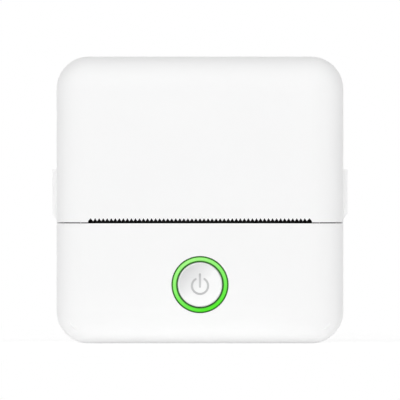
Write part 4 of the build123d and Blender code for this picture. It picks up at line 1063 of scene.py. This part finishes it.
# the room: a lit table and walls of light, given by direction alone
studio = {
    "floorSize": 0.5,
    "floorWhite": (0.86, 0.9),
    "fibreMm": 1.5,
    "shadowShare": 0.5,      # how much of the object's shadow the floor keeps
    "floorFade": (0.10, 0.24),    # from here to there the floor turns into the plain background
    "floorGlow": 0.70,
    "floorFill": 0.23,       # the table is a lit opal sheet, so the underside isn't black
    # light by direction, from straight behind the object (0) over its sides (0.5) to its front (1):
    # a large box in front, a band from the sides, and dark flags just behind it that draw the edges
    "ring": ((0.04, 0.80), (0.10, 0.42), (0.16, 0.06), (0.32, 0.03), (0.42, 0.05), (0.47, 0.18),
             (0.53, 0.46), (0.62, 0.83), (0.70, 0.58), (0.77, 0.24), (0.84, 0.20), (0.91, 0.44),
             (0.97, 0.84)),
    "level": 2.0,
    "top": 0.04,             # a little more light from above and from the left
    "left": 0.03,
    "keyWatts": 0.6,
    "keySize": 0.5,
    "keyPlace": (-0.55, -0.9, 0.75),
    "keyAim": (0.0, 0.0, 0.04),
}


# 1 for rays that look at the room itself, straight, mirrored or through something clear, and 0 for
# the light that it gives
def seenDirectly(tree):
    rays = addNode(tree, "ShaderNodeLightPath").outputs
    direct = rays["Is Camera Ray"]
    for kind in ("Is Glossy Ray", "Is Transmission Ray"):
        direct = addNode(tree, "ShaderNodeMath", {
            0: direct, 1: rays[kind],
        }, operation="MAXIMUM").outputs[0]
    return direct


floorMaterial, tree, output, position = startMaterial("Paper floor, plain white")
fibres = addNode(tree, "ShaderNodeTexNoise", {
    "Vector": position, "Scale": perMetre(studio["fibreMm"]), "Detail": 2.0,
})
paper = addNode(tree, "ShaderNodeMapRange", {
    "Value": fibres.outputs["Fac"],
    "To Min": studio["floorWhite"][0],
    "To Max": studio["floorWhite"][1],
})
matt = addNode(tree, "ShaderNodeBsdfDiffuse", {"Color": paper.outputs["Result"]})
glow = addNode(tree, "ShaderNodeEmission", {"Strength": studio["floorGlow"]})
both = addNode(tree, "ShaderNodeAddShader", {0: glow.outputs[0], 1: matt.outputs[0]})
near = addNode(tree, "ShaderNodeMixShader", {
    0: studio["shadowShare"], 1: glow.outputs[0], 2: both.outputs[0],
})
fromObject = addNode(tree, "ShaderNodeVectorMath", {0: position}, operation="LENGTH")
far = addNode(tree, "ShaderNodeMapRange", {
    "Value": fromObject.outputs["Value"],
    "From Min": studio["floorFade"][0],
    "From Max": studio["floorFade"][1],
}, interpolation_type="SMOOTHSTEP")
plain = addNode(tree, "ShaderNodeEmission", {"Strength": 1.0})
shown = addNode(tree, "ShaderNodeMixShader", {
    0: far.outputs["Result"], 1: near.outputs[0], 2: plain.outputs[0],
})
fill = addNode(tree, "ShaderNodeEmission", {"Strength": studio["floorFill"]})
table = addNode(tree, "ShaderNodeAddShader", {0: matt.outputs[0], 1: fill.outputs[0]})
choice = addNode(tree, "ShaderNodeMixShader", {
    0: seenDirectly(tree), 1: table.outputs[0], 2: shown.outputs[0],
})
tree.links.new(choice.outputs[0], output.inputs["Surface"])
floorMesh = bpy.data.meshes.new("studio_floor")
reach = studio["floorSize"]
corners = [(-reach, -reach, 0), (reach, -reach, 0), (reach, reach, 0), (-reach, reach, 0)]
floorMesh.from_pydata(corners, [], [(0, 1, 2, 3)])
floor = bpy.data.objects.new("studio_floor", floorMesh)
bpy.context.scene.collection.objects.link(floor)
floorMesh.materials.append(floorMaterial)
floor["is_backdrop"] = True

world = bpy.data.worlds.new("studio")
bpy.context.scene.world = world
world.use_nodes = True
tree = world.node_tree
tree.nodes.clear()
output = addNode(tree, "ShaderNodeOutputWorld")
direction = addNode(tree, "ShaderNodeTexCoord").outputs["Generated"]
# 0 straight behind the object and 1 straight in front of it
facing = addNode(tree, "ShaderNodeVectorMath", {
    0: direction, 1: (0.0, -0.5, 0.0),
}, operation="DOT_PRODUCT")
facing = addNode(tree, "ShaderNodeMath", {0: facing.outputs["Value"], 1: 0.5}, operation="ADD")
ring = addNode(tree, "ShaderNodeValToRGB", {"Fac": facing.outputs[0]})
stops = ring.color_ramp.elements
stops.remove(stops[1])
stops[0].position = 0.0
stops[0].color = (*[studio["ring"][0][1]] * 3, 1.0)
for place, share in studio["ring"]:
    stops.new(place).color = (share, share, share, 1.0)
slope = addNode(tree, "ShaderNodeVectorMath", {
    0: direction, 1: (-studio["left"], 0.0, studio["top"]),
}, operation="DOT_PRODUCT")
slope = addNode(tree, "ShaderNodeMath", {0: slope.outputs["Value"], 1: 1.0}, operation="ADD")
level = addNode(tree, "ShaderNodeMath", {
    0: ring.outputs["Color"], 1: slope.outputs[0],
}, operation="MULTIPLY")
level = addNode(tree, "ShaderNodeMath", {
    0: level.outputs[0], 1: studio["level"],
}, operation="MULTIPLY")
white = (1.0, 1.0, 1.0, 1.0)
soft = addNode(tree, "ShaderNodeBackground", {"Color": white, "Strength": level.outputs[0]})
plain = addNode(tree, "ShaderNodeBackground", {"Color": white, "Strength": 1.0})
choice = addNode(tree, "ShaderNodeMixShader", {
    0: seenDirectly(tree), 1: soft.outputs[0], 2: plain.outputs[0],
})
tree.links.new(choice.outputs[0], output.inputs["Surface"])

keyLamp = bpy.data.lights.new("key_softbox", "AREA")
keyLamp.energy = studio["keyWatts"]
keyLamp.shape = "SQUARE"
keyLamp.size = studio["keySize"]
key = bpy.data.objects.new("key_softbox", keyLamp)
bpy.context.scene.collection.objects.link(key)
key.location = studio["keyPlace"]
key.rotation_euler = (Vector(studio["keyAim"]) - key.location).to_track_quat("-Z", "Y").to_euler()
print("studio lit")


# the photograph is taken from the front with a long lens
view = {"lens": 600.0, "sensor": 36.0, "distance": 1.8713, "height": 0.040, "clipEnd": 20.0}
cameraData = bpy.data.cameras.new("camera")
cameraData.lens = view["lens"]
cameraData.sensor_width = view["sensor"]
cameraData.clip_end = view["clipEnd"]
camera = bpy.data.objects.new("camera", cameraData)
bpy.context.scene.collection.objects.link(camera)
camera.location = (0, -view["distance"], view["height"])
camera.rotation_euler = (math.radians(90), 0, 0)
bpy.context.scene.camera = camera
bpy.context.scene.view_settings.view_transform = "Standard"

low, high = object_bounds()
